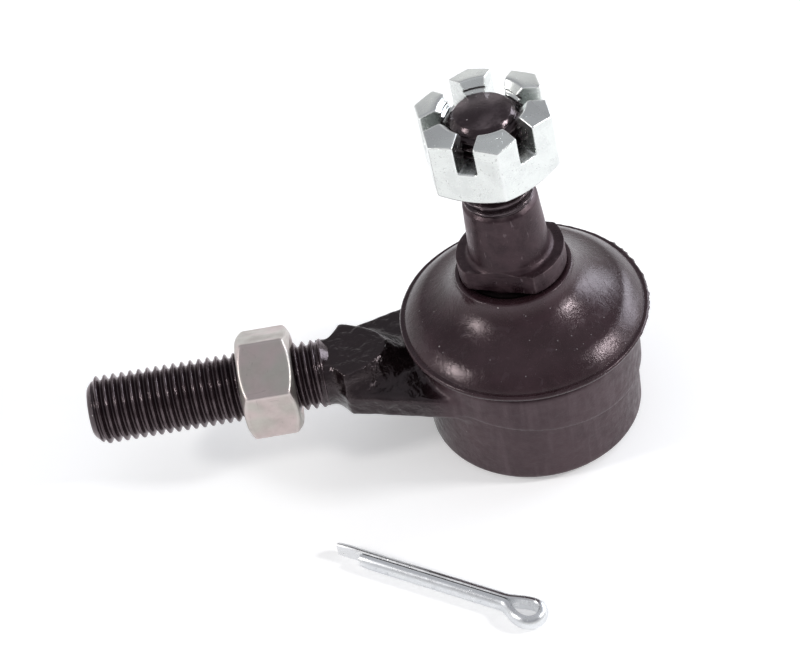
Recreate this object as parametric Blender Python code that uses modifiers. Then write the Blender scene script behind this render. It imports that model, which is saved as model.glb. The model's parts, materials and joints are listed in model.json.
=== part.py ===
"""Tie rod end: forged ball-joint housing with a threaded shank, a ball stud
with a castle nut, a rubber dust boot, a jam nut and a loose cotter pin.

Frame: the origin is the centre of the cup's base, +Z runs up the cup, and the
threaded shank points along -X.  Heights that start with a piece's own axis
(the stud's, the shank's) are counted from the centre of the ball.
"""
import math

import bmesh
import bpy
from mathutils import Matrix, Vector, geometry

MM = 0.001

# Clearance between neighbouring pieces that touch on the real object.
GAP = 0.3 * MM

# Facets.
BODY_SEGMENTS = 44
INNER_SEGMENTS = 32
THREAD_SEGMENTS = 22
ARC_STEPS = 5
FILLET_STEPS = 4
HOLE_SEGMENTS = 16
WIRE_STEPS = 10
MERGE = 0.000001
OFF_SEAM = math.radians(3.1)

# M10 x 1.25 thread on the stud and on the shank.
THREAD_MAJOR_RADIUS = 4.95 * MM
THREAD_PITCH = 1.25 * MM
THREAD_DEPTH = 0.61 * THREAD_PITCH
THREAD_CHAMFER = 1.1 * MM
THREAD_SPARE_TURNS = 3

# Ball.
BALL_RADIUS = 9.0 * MM
BALL_FLAT_RADIUS = 2.5 * MM

# Resting lean of the stud, as turns about +Y (swing) and then +X (rock), and
# the furthest that the stud may tilt from the cup's axis.
REST_SWING = math.radians(-2.4)
REST_ROCK = math.radians(-1.8)
TILT_LIMIT = math.radians(25.5)

# Ball seats.
SEAT_WALL = 1.6 * MM
SEAT_FLOOR_HOLE_RADIUS = 3.5 * MM
SEAT_FLOOR_EDGE = 0.62 * MM

# Closing plate, and the disc spring between it and the lower seat.
CAP_LIP_HEIGHT = 0.9 * MM
CAP_THICKNESS = 1.8 * MM
CAP_RIM_OVERLAP = 1.1 * MM
CAP_LIP_OVERLAP = 0.66 * MM
CAP_PAD_RADIUS = 8.5 * MM
CAP_PAD_SLOPE = 1.0 * MM
SPRING_THICKNESS = 0.55 * MM
SPRING_HEIGHT = 1.0 * MM
SPRING_INNER_RADIUS = 4.0 * MM
SPRING_OUTER_RADIUS = 8.5 * MM

# Housing cup, from the ball outwards; heights are from the ball's centre.
CUP_WALL = 4.15 * MM
BASE_CHAMFER = 1.07 * MM
BAND_PROUD = 0.55 * MM
BAND_BELOW_BALL = 2.74 * MM
SHOULDER_BELOW_MOUTH = 1.94 * MM
EDGE_BREAK = 0.4 * MM
MOUTH_CLEARANCE = 0.6 * MM
MOUTH_EDGE_OVER_BALL = 0.7 * MM
GROOVE_WALL = 1.03 * MM
GROOVE_DEPTH = 1.0 * MM
GROOVE_HEIGHT = 2.1 * MM
COLLAR_HEIGHT = 1.54 * MM

# Arm between the cup and the shank, and the shank.
ARM_THICKNESS = 3.7 * MM
ARM_TOP_ABOVE_BALL = 1.16 * MM
ARM_HALF_WIDTH_AT_CUP = 11.3 * MM
ARM_HALF_WIDTH_AT_SHANK = 6.9 * MM
ARM_EDGE = 0.7 * MM
ARM_REACH_IN = 6.0 * MM
ARM_FULL_WIDTH_DEPTH = 3.3 * MM
SHANK_COLLAR_PROUD = 1.55 * MM
SHANK_COLLAR_START = 10.7 * MM
SHANK_NECK_UNDERCUT = 0.21 * MM
SHANK_COLLAR_LAND = 1.1 * MM
SHANK_COLLAR_OUTER_LAND = 0.5 * MM
SHANK_FILLET_NECK_HANDLE = 1.0 * MM
SHANK_FILLET_COLLAR_HANDLE = 0.4 * MM
SHANK_FILLET_COLLAR_DROP = 0.7 * MM
SHANK_NECK_END = 13.4 * MM
SHANK_NECK_INTO_THREAD = 0.4 * THREAD_PITCH
SHANK_THREAD_INTO_NECK = 2.5 * THREAD_PITCH
BOSS_LENGTH = 9.3 * MM
BOSS_HANDLE = 0.3 * BOSS_LENGTH
BOSS_COLLAR_DROP = 1.2 * MM
BOSS_TIP_RISE = 2.2 * MM
BOSS_TIP_RADIUS = 0.6 * MM
SHANK_LENGTH = 48.05 * MM

# Ball stud; heights are counted upwards, each from the one before it.
STUD_NECK_RADIUS = 4.3 * MM
STUD_NECK_CLEARANCE = 3.3 * MM
STUD_NECK_FLARE = 1.3 * MM
BOOT_SEAT_LENGTH = 2.8 * MM
BOOT_SEAT_INSET = 0.15 * MM
FLANGE_THICKNESS = 3.0 * MM
FLANGE_OVERHANG = 1.93 * MM
FLANGE_FLAT_MARGIN = 0.08 * MM
FLANGE_FLATS_AZIMUTH = math.radians(67.0)
TAPER_STEP = 0.25 * MM
TAPER_LENGTH = 9.4 * MM
TAPER_RATIO = 0.1
TAPER_FILLET = 0.5 * MM
STUD_THREAD_LENGTH = 15.0 * MM
STUD_THREAD_START = 0.4 * THREAD_PITCH
STUD_THREAD_INTO_TAPER = 1.5 * THREAD_PITCH

# Both nuts.
NUT_BORE_CHAMFER = 0.5 * MM

# Castle nut.
CASTLE_WALL = 3.15 * MM
CASTLE_HEIGHT = 10.0 * MM
CASTLE_TOP_PROUD = 0.9 * MM
CASTLE_SLOT_WIDTH = 2.8 * MM
CASTLE_SLOT_DEPTH = 5.0 * MM
CASTLE_TOP_LAND = 0.5 * MM
CASTLE_TOP_SLOPE = 0.27
CASTLE_BASE_SLOPE = 0.58
CASTLE_CORNER_AZIMUTH = math.radians(-85.0)
COTTER_HOLE_CLEARANCE = 0.3 * MM
COTTER_HOLE_IN_SLOT = 0.62

# Jam nut.
JAM_WALL = 1.8 * MM
JAM_THICKNESS = 8.0 * MM
JAM_FACE_LAND = 0.74 * MM
JAM_FACE_SLOPE = 0.58
JAM_FROM_NECK = 8.75 * MM

# Dust boot, with the steel rings at its two ends.
BOOT_WALL = 1.4 * MM
BOOT_OVERHANG = 1.8 * MM
BOOT_FLOOR_THICKNESS = 1.5 * MM
BOOT_LIP_ROUND = 0.3 * MM
BOOT_FLARE_HANDLE = (0.09 * MM, 2.04 * MM)
BOOT_DOME_INSET = 3.5 * MM
BOOT_DOME_HEIGHT = 3.02 * MM
BOOT_DOME_HANDLE = (2.78 * MM, 0.97 * MM)
BOOT_DOME_AHEAD = (1.11 * MM, 0.39 * MM)
BOOT_SHOULDER_INSET = 0.72 * MM
BOOT_SHOULDER_HEIGHT = 0.62 * MM
BOOT_SHOULDER_DROP = 0.2 * MM
BOOT_RIM_WIDEST = 0.3 * MM
BOOT_RIM_WALL = 2.7 * MM
BOOT_INNER_SHOULDER_HANDLE = (2.1 * MM, 1.7 * MM)
BOOT_INNER_FLARE_HANDLE = (1.5 * MM, 1.6 * MM)
BOOT_INNER_NECK_STEP = 0.4 * MM
BOOT_FLARE_STEPS = 7
BOOT_SHOULDER_STEPS = 4
BOOT_INNER_STEPS = 6
BOOT_EDGE = 0.1 * MM
BOOT_BEAD_WALL = 2.3 * MM
CLAMP_WIRE_DIAMETER = 1.4 * MM
NECK_RING_WALL = 0.7 * MM
NECK_RING_HEIGHT = 2.15 * MM

# Cotter pin, closed, lying on its side in front of the cup.
COTTER_DIAMETER = 2.5 * MM
COTTER_LEG_GAP = 0.12 * MM
COTTER_LONG_LEG = 26.0 * MM
COTTER_LEG_STEP = 4.0 * MM
COTTER_EYE_LENGTH = 6.6 * MM
COTTER_EYE_WIDTH = 5.0 * MM
COTTER_EYE_OPENING = math.radians(40.0)
COTTER_EYE_STEPS = 14
COTTER_SECTION_STEPS = 6
COTTER_EYE_X = -9.7 * MM
COTTER_IN_FRONT = 21.35 * MM
COTTER_AZIMUTH = math.radians(147.2)

# Values that follow from the driving sizes: the thread and both nuts.
THREAD_MINOR_RADIUS = THREAD_MAJOR_RADIUS - THREAD_DEPTH
NUT_BORE_RADIUS = THREAD_MAJOR_RADIUS + GAP
NUT_FACE_INNER_RADIUS = NUT_BORE_RADIUS + NUT_BORE_CHAMFER
CASTLE_FLATS = 2.0 * (NUT_BORE_RADIUS + CASTLE_WALL)
JAM_FLATS = 2.0 * (NUT_BORE_RADIUS + JAM_WALL)

# The mouth: a cone that the tilted neck clears, from where it meets the ball's
# sphere plus a margin.
MOUTH_SLOPE = math.tan(TILT_LIMIT)
MOUTH_ROOT_RADIUS = STUD_NECK_RADIUS / math.cos(TILT_LIMIT) + MOUTH_CLEARANCE
MOUTH_EDGE_RADIUS = BALL_RADIUS + MOUTH_EDGE_OVER_BALL
MOUTH_STEEPNESS = 1.0 + MOUTH_SLOPE ** 2
MOUTH_HEIGHT = (math.sqrt(MOUTH_EDGE_RADIUS ** 2 * MOUTH_STEEPNESS - MOUTH_ROOT_RADIUS ** 2)
                - MOUTH_ROOT_RADIUS * MOUTH_SLOPE) / MOUTH_STEEPNESS
MOUTH_RADIUS = MOUTH_ROOT_RADIUS + MOUTH_SLOPE * MOUTH_HEIGHT

# What is inside the cup, from its base up to the ball.
SEAT_INNER_RADIUS = BALL_RADIUS + GAP
SEAT_OUTER_RADIUS = SEAT_INNER_RADIUS + SEAT_WALL
SEAT_TOP_HEIGHT = MOUTH_HEIGHT - GAP
CAVITY_RADIUS = SEAT_OUTER_RADIUS + GAP
CAP_BOTTOM_Z = CAP_LIP_HEIGHT + GAP
CAP_TOP_Z = CAP_BOTTOM_Z + CAP_THICKNESS
CAP_RADIUS = CAVITY_RADIUS + CAP_RIM_OVERLAP - GAP
CAP_LIP_RADIUS = CAP_RADIUS + GAP - CAP_LIP_OVERLAP
SPRING_BOTTOM_Z = CAP_TOP_Z + GAP
SEAT_BOTTOM_Z = SPRING_BOTTOM_Z + SPRING_HEIGHT + GAP
SEAT_HOLE_DROP = math.sqrt(SEAT_INNER_RADIUS ** 2 - SEAT_FLOOR_HOLE_RADIUS ** 2)
BALL_CENTRE_Z = SEAT_BOTTOM_Z + SEAT_FLOOR_EDGE + SEAT_HOLE_DROP

# The cup.
CUP_RADIUS = CAVITY_RADIUS + CUP_WALL
BAND_RADIUS = CUP_RADIUS + BAND_PROUD
BAND_BOTTOM_Z = BALL_CENTRE_Z - BAND_BELOW_BALL
SHOULDER_HEIGHT = MOUTH_HEIGHT - SHOULDER_BELOW_MOUTH
SHOULDER_Z = BALL_CENTRE_Z + SHOULDER_HEIGHT
GROOVE_TOP_Z = SHOULDER_Z + GROOVE_HEIGHT
MOUTH_TOP_Z = GROOVE_TOP_Z + COLLAR_HEIGHT
GROOVE_RADIUS = math.sqrt(CAVITY_RADIUS ** 2 - SHOULDER_HEIGHT ** 2) + GROOVE_WALL
COLLAR_RADIUS = GROOVE_RADIUS + GROOVE_DEPTH

# The shank, as distances from the cup's axis.
SHANK_NECK_RADIUS = THREAD_MAJOR_RADIUS - SHANK_NECK_UNDERCUT
SHANK_COLLAR_RADIUS = THREAD_MAJOR_RADIUS + SHANK_COLLAR_PROUD
SHANK_COLLAR_AT = CUP_RADIUS + SHANK_COLLAR_START
SHANK_NECK_AT = CUP_RADIUS + SHANK_NECK_END
SHANK_END_AT = CUP_RADIUS + SHANK_LENGTH
JAM_CENTRE = SHANK_NECK_AT + JAM_FROM_NECK

# The stud, as heights from the ball's centre.
TAPER_TOP_RADIUS = THREAD_MAJOR_RADIUS + TAPER_STEP
TAPER_RADIUS = TAPER_TOP_RADIUS + 0.5 * TAPER_RATIO * TAPER_LENGTH
FLANGE_RADIUS = TAPER_RADIUS + FLANGE_OVERHANG
FLANGE_FLATS = 2.0 * (TAPER_RADIUS + FLANGE_FLAT_MARGIN)
BOOT_SEAT_RADIUS = 0.5 * FLANGE_FLATS - BOOT_SEAT_INSET
STUD_NECK_TOP = MOUTH_TOP_Z - BALL_CENTRE_Z + STUD_NECK_CLEARANCE
BOOT_SEAT_BOTTOM = STUD_NECK_TOP + STUD_NECK_FLARE
FLANGE_BOTTOM = BOOT_SEAT_BOTTOM + BOOT_SEAT_LENGTH
FLANGE_TOP = FLANGE_BOTTOM + FLANGE_THICKNESS
TAPER_TOP = FLANGE_TOP + TAPER_LENGTH
STUD_END = TAPER_TOP + STUD_THREAD_LENGTH
CASTLE_TOP = STUD_END + CASTLE_TOP_PROUD
CASTLE_BOTTOM = CASTLE_TOP - CASTLE_HEIGHT
COTTER_HOLE_DIAMETER = COTTER_DIAMETER + COTTER_HOLE_CLEARANCE
COTTER_HOLE_HEIGHT = CASTLE_TOP - COTTER_HOLE_IN_SLOT * CASTLE_SLOT_DEPTH

# The boot and its rings.
NECK_RING_TOP = FLANGE_BOTTOM - GAP
NECK_RING_BOTTOM = NECK_RING_TOP - NECK_RING_HEIGHT
NECK_RING_INNER = BOOT_SEAT_RADIUS + GAP
NECK_RING_OUTER = NECK_RING_INNER + NECK_RING_WALL
BOOT_NECK_INNER = NECK_RING_OUTER + GAP
BOOT_NECK_OUTER = BOOT_NECK_INNER + BOOT_WALL
BOOT_RIM_RADIUS = BAND_RADIUS + BOOT_OVERHANG
BOOT_BEAD_RADIUS = GROOVE_RADIUS + GAP + BOOT_BEAD_WALL


def clear_scene():
    """Remove whatever the scene starts with."""
    for thing in list(bpy.data.objects):
        bpy.data.objects.remove(thing, do_unlink=True)


def collection(name):
    """A new collection in the scene."""
    group = bpy.data.collections.new(name)
    bpy.context.scene.collection.children.link(group)
    return group


clear_scene()
PARTS = collection("tie_rod_end")
CUTTERS = collection("cutters")


# ---------------------------------------------------------------- helpers

def material(name, colour, roughness, metallic):
    """A plain Principled material."""
    made = bpy.data.materials.new(name)
    made.use_nodes = True
    shader = made.node_tree.nodes["Principled BSDF"]
    shader.inputs["Base Color"].default_value = (*colour, 1.0)
    shader.inputs["Roughness"].default_value = roughness
    shader.inputs["Metallic"].default_value = metallic
    return made


def empty(name, location, turn):
    """An empty that stands on a joint's axis, with its pieces as children."""
    frame = bpy.data.objects.new(name, None)
    frame.location = location
    frame.rotation_euler = turn
    PARTS.objects.link(frame)
    return frame


def add_object(name, mesh, group=PARTS, location=(0.0, 0.0, 0.0), parent=None):
    """Link a mesh as an object, smooth on its round faces."""
    thing = bpy.data.objects.new(name, mesh)
    thing.location = location
    thing.parent = parent
    group.objects.link(thing)
    if group is CUTTERS:
        thing.hide_render = True
        thing.display_type = 'WIRE'
    return thing


def smooth(thing, sharp_degrees=35.0):
    """Shade the round faces smooth and keep the real edges sharp."""
    thing.data.shade_smooth()
    thing.data.set_sharp_from_angle(angle=math.radians(sharp_degrees))


def evaluated_mesh(thing):
    """A new mesh of the object with its modifiers applied; the object goes."""
    bpy.context.view_layer.update()
    graph = bpy.context.evaluated_depsgraph_get()
    mesh = bpy.data.meshes.new_from_object(thing.evaluated_get(graph))
    mesh.transform(thing.matrix_world)
    bpy.data.objects.remove(thing, do_unlink=True)
    return mesh


def turned_mesh(name, profile, segments, ring=False):
    """Turn a profile of (radius, height) points about Z.

    The points run down the outer side, from top to bottom.  A ring's profile
    closes on itself; any other starts and ends on the axis.
    """
    count = len(profile)
    edges = [(i, i + 1) for i in range(count - 1)]
    if ring:
        edges.append((count - 1, 0))
    line = bpy.data.meshes.new(name)
    line.from_pydata([(r, 0.0, z) for r, z in profile], edges, [])
    blank = add_object(name + "_profile", line, CUTTERS)
    screw = blank.modifiers.new("turn", 'SCREW')
    screw.steps = segments
    screw.render_steps = segments
    screw.use_merge_vertices = True
    screw.merge_threshold = MERGE
    mesh = evaluated_mesh(blank)
    mesh.name = name
    return mesh


def arc(radius, centre_z, start_height, end_height, steps=ARC_STEPS):
    """Points of a sphere's outline between two heights from its centre."""
    start = math.asin(start_height / radius)
    end = math.asin(end_height / radius)
    angles = [start + (end - start) * i / steps for i in range(steps + 1)]
    return [(radius * math.cos(a), centre_z + radius * math.sin(a)) for a in angles]


def bezier(start, start_handle, end_handle, end, steps):
    """Points of one smooth curve between two outline points."""
    knots = [Vector((*p, 0.0)) for p in (start, start_handle, end_handle, end)]
    points = geometry.interpolate_bezier(*knots, steps + 1)
    return [(p.x, p.y) for p in points]


def boolean(thing, operation, other):
    """Join, cut or intersect with another object, by the exact solver."""
    step = thing.modifiers.new(other.name, 'BOOLEAN')
    step.operation = operation
    step.solver = 'EXACT'
    step.object = other


def box_mesh(name, low, high):
    """A box between two corners."""
    build = bmesh.new()
    bmesh.ops.create_cube(build, size=1.0)
    for vertex in build.verts:
        for axis in range(3):
            share = vertex.co[axis] + 0.5
            vertex.co[axis] = low[axis] + share * (high[axis] - low[axis])
    mesh = bpy.data.meshes.new(name)
    build.to_mesh(mesh)
    build.free()
    return mesh


def threaded_bar_mesh(name, bottom, top):
    """A bar with a true helical thread, longer than it is needed at both ends."""
    line = bpy.data.meshes.new(name)
    points = [(THREAD_MINOR_RADIUS, THREAD_PITCH), (THREAD_MAJOR_RADIUS, 0.5 * THREAD_PITCH),
              (THREAD_MINOR_RADIUS, 0.0)]
    line.from_pydata([(r, 0.0, z) for r, z in points], [(0, 1), (1, 2)], [])
    blank = add_object(name + "_profile", line, CUTTERS)
    screw = blank.modifiers.new("thread", 'SCREW')
    screw.steps = THREAD_SEGMENTS
    screw.render_steps = THREAD_SEGMENTS
    screw.screw_offset = THREAD_PITCH
    screw.iterations = math.ceil((top - bottom) / THREAD_PITCH) + THREAD_SPARE_TURNS
    mesh = evaluated_mesh(blank)
    mesh.name = name
    build = bmesh.new()
    build.from_mesh(mesh)
    bmesh.ops.remove_doubles(build, verts=build.verts, dist=MERGE)
    open_edges = [edge for edge in build.edges if edge.is_boundary]
    ends = bmesh.ops.holes_fill(build, edges=open_edges, sides=0)["faces"]
    bmesh.ops.poke(build, faces=ends)
    bmesh.ops.recalc_face_normals(build, faces=build.faces)
    start = bottom - 0.5 * THREAD_SPARE_TURNS * THREAD_PITCH
    bmesh.ops.translate(build, verts=build.verts, vec=(0.0, 0.0, start))
    build.to_mesh(mesh)
    build.free()
    return mesh


def thread_cutter(name, bottom, top, root_inside, parent):
    """A thread between two heights: chamfered at the top, running out below."""
    bar = add_object(name, threaded_bar_mesh(name, bottom - root_inside, top), CUTTERS,
                     parent=parent)
    bar.rotation_euler.z = 2.0 * OFF_SEAM
    reach = THREAD_MAJOR_RADIUS + THREAD_DEPTH
    tip = THREAD_MAJOR_RADIUS - THREAD_CHAMFER
    runout = THREAD_MINOR_RADIUS - THREAD_DEPTH
    profile = [(0.0, top), (tip, top), (THREAD_MAJOR_RADIUS, top - THREAD_CHAMFER),
               (reach, top - THREAD_CHAMFER - THREAD_DEPTH), (reach, bottom + THREAD_PITCH),
               (runout, bottom - root_inside), (0.0, bottom - root_inside)]
    limits = add_object(name + "_limits", turned_mesh(name + "_limits", profile, BODY_SEGMENTS),
                        CUTTERS, parent=parent)
    limits.rotation_euler.z = OFF_SEAM
    boolean(bar, 'INTERSECT', limits)
    return bar


# ---------------------------------------------------------------- housing

def cavity_profile():
    """The hollow of the cup: flared mouth, ball seat, cap seat, rolled lip."""
    beyond = 2.0 * MM
    cap_seat_radius = CAP_RADIUS + GAP
    mouth_z = BALL_CENTRE_Z + MOUTH_HEIGHT
    top = MOUTH_TOP_Z + beyond
    flare = MOUTH_RADIUS + MOUTH_SLOPE * (top - mouth_z)
    profile = [(0.0, top), (flare, top), (MOUTH_RADIUS, mouth_z)]
    profile += arc(CAVITY_RADIUS, BALL_CENTRE_Z, MOUTH_HEIGHT, 0.0)
    profile += [(CAVITY_RADIUS, CAP_TOP_Z + GAP), (cap_seat_radius, CAP_TOP_Z + GAP),
                (cap_seat_radius, CAP_LIP_HEIGHT), (CAP_LIP_RADIUS, CAP_LIP_HEIGHT),
                (CAP_LIP_RADIUS, -beyond), (0.0, -beyond)]
    return profile


def cup_profile():
    """The outside of the cup, with the groove that holds the boot's bead."""
    return [(0.0, MOUTH_TOP_Z), (COLLAR_RADIUS - EDGE_BREAK, MOUTH_TOP_Z),
            (COLLAR_RADIUS, MOUTH_TOP_Z - EDGE_BREAK), (COLLAR_RADIUS, GROOVE_TOP_Z),
            (GROOVE_RADIUS, GROOVE_TOP_Z), (GROOVE_RADIUS, SHOULDER_Z),
            (BAND_RADIUS - EDGE_BREAK, SHOULDER_Z), (BAND_RADIUS, SHOULDER_Z - EDGE_BREAK),
            (BAND_RADIUS, BAND_BOTTOM_Z), (CUP_RADIUS, BAND_BOTTOM_Z - BAND_PROUD),
            (CUP_RADIUS, BASE_CHAMFER), (CUP_RADIUS - BASE_CHAMFER, 0.0), (0.0, 0.0)]


def shank_profile():
    """Boss, collar and neck of the shank, about its axis, outer end on top."""
    thread_foot = SHANK_NECK_AT + SHANK_NECK_INTO_THREAD
    collar_outer = SHANK_COLLAR_AT + SHANK_COLLAR_OUTER_LAND
    collar_inner = collar_outer - SHANK_COLLAR_LAND
    fillet = bezier((SHANK_NECK_RADIUS, SHANK_NECK_AT),
                    (SHANK_NECK_RADIUS, SHANK_NECK_AT - SHANK_FILLET_NECK_HANDLE),
                    (SHANK_COLLAR_RADIUS - SHANK_FILLET_COLLAR_DROP,
                     collar_outer + SHANK_FILLET_COLLAR_HANDLE),
                    (SHANK_COLLAR_RADIUS, collar_outer), FILLET_STEPS)
    boss_end = SHANK_COLLAR_AT - BOSS_LENGTH
    boss = bezier((SHANK_COLLAR_RADIUS, collar_inner),
                  (SHANK_COLLAR_RADIUS - BOSS_COLLAR_DROP, SHANK_COLLAR_AT - BOSS_HANDLE),
                  (BOSS_TIP_RADIUS + BOSS_TIP_RISE, boss_end + BOSS_HANDLE),
                  (BOSS_TIP_RADIUS, boss_end), ARC_STEPS)
    return ([(0.0, thread_foot), (SHANK_NECK_RADIUS, thread_foot)] + fillet + boss
            + [(0.0, boss_end)])


def arm_mesh():
    """The flat arm: a tapered plate from the shank's collar into the cup."""
    top = BALL_CENTRE_Z + ARM_TOP_ABOVE_BALL
    near = -(CUP_RADIUS - ARM_REACH_IN)
    far = -SHANK_COLLAR_AT
    cup_side = -(CUP_RADIUS - ARM_FULL_WIDTH_DEPTH)
    widen = (ARM_HALF_WIDTH_AT_CUP - ARM_HALF_WIDTH_AT_SHANK) / (cup_side - far)
    mesh = box_mesh("arm", (far, -1.0, top - ARM_THICKNESS), (near, 1.0, top))
    for vertex in mesh.vertices:
        half_width = ARM_HALF_WIDTH_AT_SHANK + widen * (vertex.co.x - far)
        vertex.co.y = math.copysign(min(half_width, ARM_HALF_WIDTH_AT_CUP), vertex.co.y)
    return mesh


def make_housing(finish, shank_axis):
    """The forged housing: cup, arm and threaded shank in one piece."""
    housing = add_object("housing", turned_mesh("housing", cup_profile(), BODY_SEGMENTS))
    arm = add_object("arm", arm_mesh(), CUTTERS)
    edge = arm.modifiers.new("edges", 'BEVEL')
    edge.width = ARM_EDGE
    edge.segments = 2
    shank = add_object("shank", turned_mesh("shank", shank_profile(), INNER_SEGMENTS), CUTTERS,
                       parent=shank_axis)
    thread = thread_cutter("shank_thread", SHANK_NECK_AT + THREAD_PITCH, SHANK_END_AT,
                           SHANK_THREAD_INTO_NECK, shank_axis)
    cavity = add_object("cavity", turned_mesh("cavity", cavity_profile(), BODY_SEGMENTS), CUTTERS)
    boolean(housing, 'UNION', arm)
    boolean(housing, 'UNION', shank)
    boolean(housing, 'UNION', thread)
    boolean(housing, 'DIFFERENCE', cavity)
    housing.data.materials.append(finish)
    smooth(housing)
    return housing


# ---------------------------------------------------------------- inside the cup

def make_end_cap(finish):
    """The plate that closes the cup, its pad flush with the cup's base."""
    slope_end = CAP_PAD_RADIUS + CAP_PAD_SLOPE
    profile = [(0.0, CAP_TOP_Z), (CAP_RADIUS, CAP_TOP_Z), (CAP_RADIUS, CAP_BOTTOM_Z),
               (slope_end, CAP_BOTTOM_Z), (CAP_PAD_RADIUS, 0.0), (0.0, 0.0)]
    cap = add_object("end_cap", turned_mesh("end_cap", profile, BODY_SEGMENTS))
    cap.data.materials.append(finish)
    smooth(cap)


def make_spring(finish):
    """The disc spring that presses the lower seat against the ball."""
    low = SPRING_BOTTOM_Z
    high = SPRING_BOTTOM_Z + SPRING_HEIGHT
    profile = [(SPRING_INNER_RADIUS, high), (SPRING_OUTER_RADIUS, low + SPRING_THICKNESS),
               (SPRING_OUTER_RADIUS, low), (SPRING_INNER_RADIUS, high - SPRING_THICKNESS)]
    mesh = turned_mesh("preload_spring", profile, INNER_SEGMENTS, ring=True)
    spring = add_object("preload_spring", mesh)
    spring.data.materials.append(finish)
    smooth(spring)


def make_seats(finish):
    """The two plastic seats that hold the ball, split at its middle."""
    split = 0.5 * GAP
    upper = arc(SEAT_OUTER_RADIUS, BALL_CENTRE_Z, SEAT_TOP_HEIGHT, split)
    upper += arc(SEAT_INNER_RADIUS, BALL_CENTRE_Z, split, SEAT_TOP_HEIGHT)
    lower = [(SEAT_OUTER_RADIUS, BALL_CENTRE_Z - split), (SEAT_OUTER_RADIUS, SEAT_BOTTOM_Z),
             (SEAT_FLOOR_HOLE_RADIUS, SEAT_BOTTOM_Z)]
    lower += arc(SEAT_INNER_RADIUS, BALL_CENTRE_Z, -SEAT_HOLE_DROP, -split)
    for name, profile in (("upper_ball_seat", upper), ("lower_ball_seat", lower)):
        seat = add_object(name, turned_mesh(name, profile, INNER_SEGMENTS, ring=True))
        seat.data.materials.append(finish)
        smooth(seat)


# ---------------------------------------------------------------- ball stud

def stud_profile():
    """Ball, neck, boot seat, flange and taper, heights from the ball's centre."""
    ball_top = math.sqrt(BALL_RADIUS ** 2 - STUD_NECK_RADIUS ** 2)
    ball_bottom = -math.sqrt(BALL_RADIUS ** 2 - BALL_FLAT_RADIUS ** 2)
    profile = [(0.0, TAPER_TOP), (TAPER_TOP_RADIUS, TAPER_TOP),
               (TAPER_RADIUS, FLANGE_TOP + TAPER_FILLET),
               (TAPER_RADIUS + TAPER_FILLET, FLANGE_TOP),
               (FLANGE_RADIUS, FLANGE_TOP), (FLANGE_RADIUS, FLANGE_BOTTOM),
               (BOOT_SEAT_RADIUS, FLANGE_BOTTOM), (BOOT_SEAT_RADIUS, BOOT_SEAT_BOTTOM),
               (STUD_NECK_RADIUS, STUD_NECK_TOP)]
    profile += arc(BALL_RADIUS, 0.0, ball_top, ball_bottom, 2 * ARC_STEPS)
    return profile + [(0.0, ball_bottom)]


def flange_flat_cutters(stud_axis):
    """Two blocks that leave the flange's wrench flats."""
    half = 0.5 * FLANGE_FLATS
    low = (half, -FLANGE_RADIUS, FLANGE_BOTTOM - 0.5 * GAP)
    high = (half + FLANGE_RADIUS, FLANGE_RADIUS, FLANGE_TOP + GAP)
    blocks = []
    for number in range(2):
        name = f"flange_flat_{number + 1}"
        block = add_object(name, box_mesh(name, low, high), CUTTERS, parent=stud_axis)
        block.rotation_euler.z = FLANGE_FLATS_AZIMUTH + number * math.pi
        blocks.append(block)
    return blocks


def make_ball_stud(finish, stud_axis):
    """The ball stud, on its axis, with its thread, flats and cotter hole."""
    mesh = turned_mesh("ball_stud", stud_profile(), INNER_SEGMENTS)
    stud = add_object("ball_stud", mesh, parent=stud_axis)
    thread = thread_cutter("stud_thread", TAPER_TOP + STUD_THREAD_START, STUD_END,
                           STUD_THREAD_INTO_TAPER, stud_axis)
    boolean(stud, 'UNION', thread)
    for block in flange_flat_cutters(stud_axis):
        boolean(stud, 'DIFFERENCE', block)
    build = bmesh.new()
    bmesh.ops.create_cone(build, cap_ends=True, segments=HOLE_SEGMENTS,
                          radius1=0.5 * COTTER_HOLE_DIAMETER,
                          radius2=0.5 * COTTER_HOLE_DIAMETER, depth=4.0 * THREAD_MAJOR_RADIUS)
    hole_mesh = bpy.data.meshes.new("cotter_hole")
    build.to_mesh(hole_mesh)
    build.free()
    hole = add_object("cotter_hole", hole_mesh, CUTTERS, (0.0, 0.0, COTTER_HOLE_HEIGHT), stud_axis)
    hole.rotation_euler = (0.0, math.radians(90.0), CASTLE_CORNER_AZIMUTH + math.radians(90.0))
    boolean(stud, 'DIFFERENCE', hole)
    stud.data.materials.append(finish)
    smooth(stud)


# ---------------------------------------------------------------- nuts

def hex_mesh(name, flats, bottom, top, corner_azimuth):
    """A six-sided prism with a corner at the given azimuth."""
    build = bmesh.new()
    corner_radius = 0.5 * flats / math.cos(math.radians(30.0))
    bmesh.ops.create_cone(build, cap_ends=True, segments=6, radius1=corner_radius,
                          radius2=corner_radius, depth=top - bottom)
    first_corner = max(build.verts, key=lambda vertex: vertex.co.x + vertex.co.y)
    turn = corner_azimuth - math.atan2(first_corner.co.y, first_corner.co.x)
    bmesh.ops.rotate(build, verts=build.verts, matrix=Matrix.Rotation(turn, 3, 'Z'))
    bmesh.ops.translate(build, verts=build.verts, vec=(0.0, 0.0, 0.5 * (bottom + top)))
    mesh = bpy.data.meshes.new(name)
    build.to_mesh(mesh)
    build.free()
    return mesh


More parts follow.
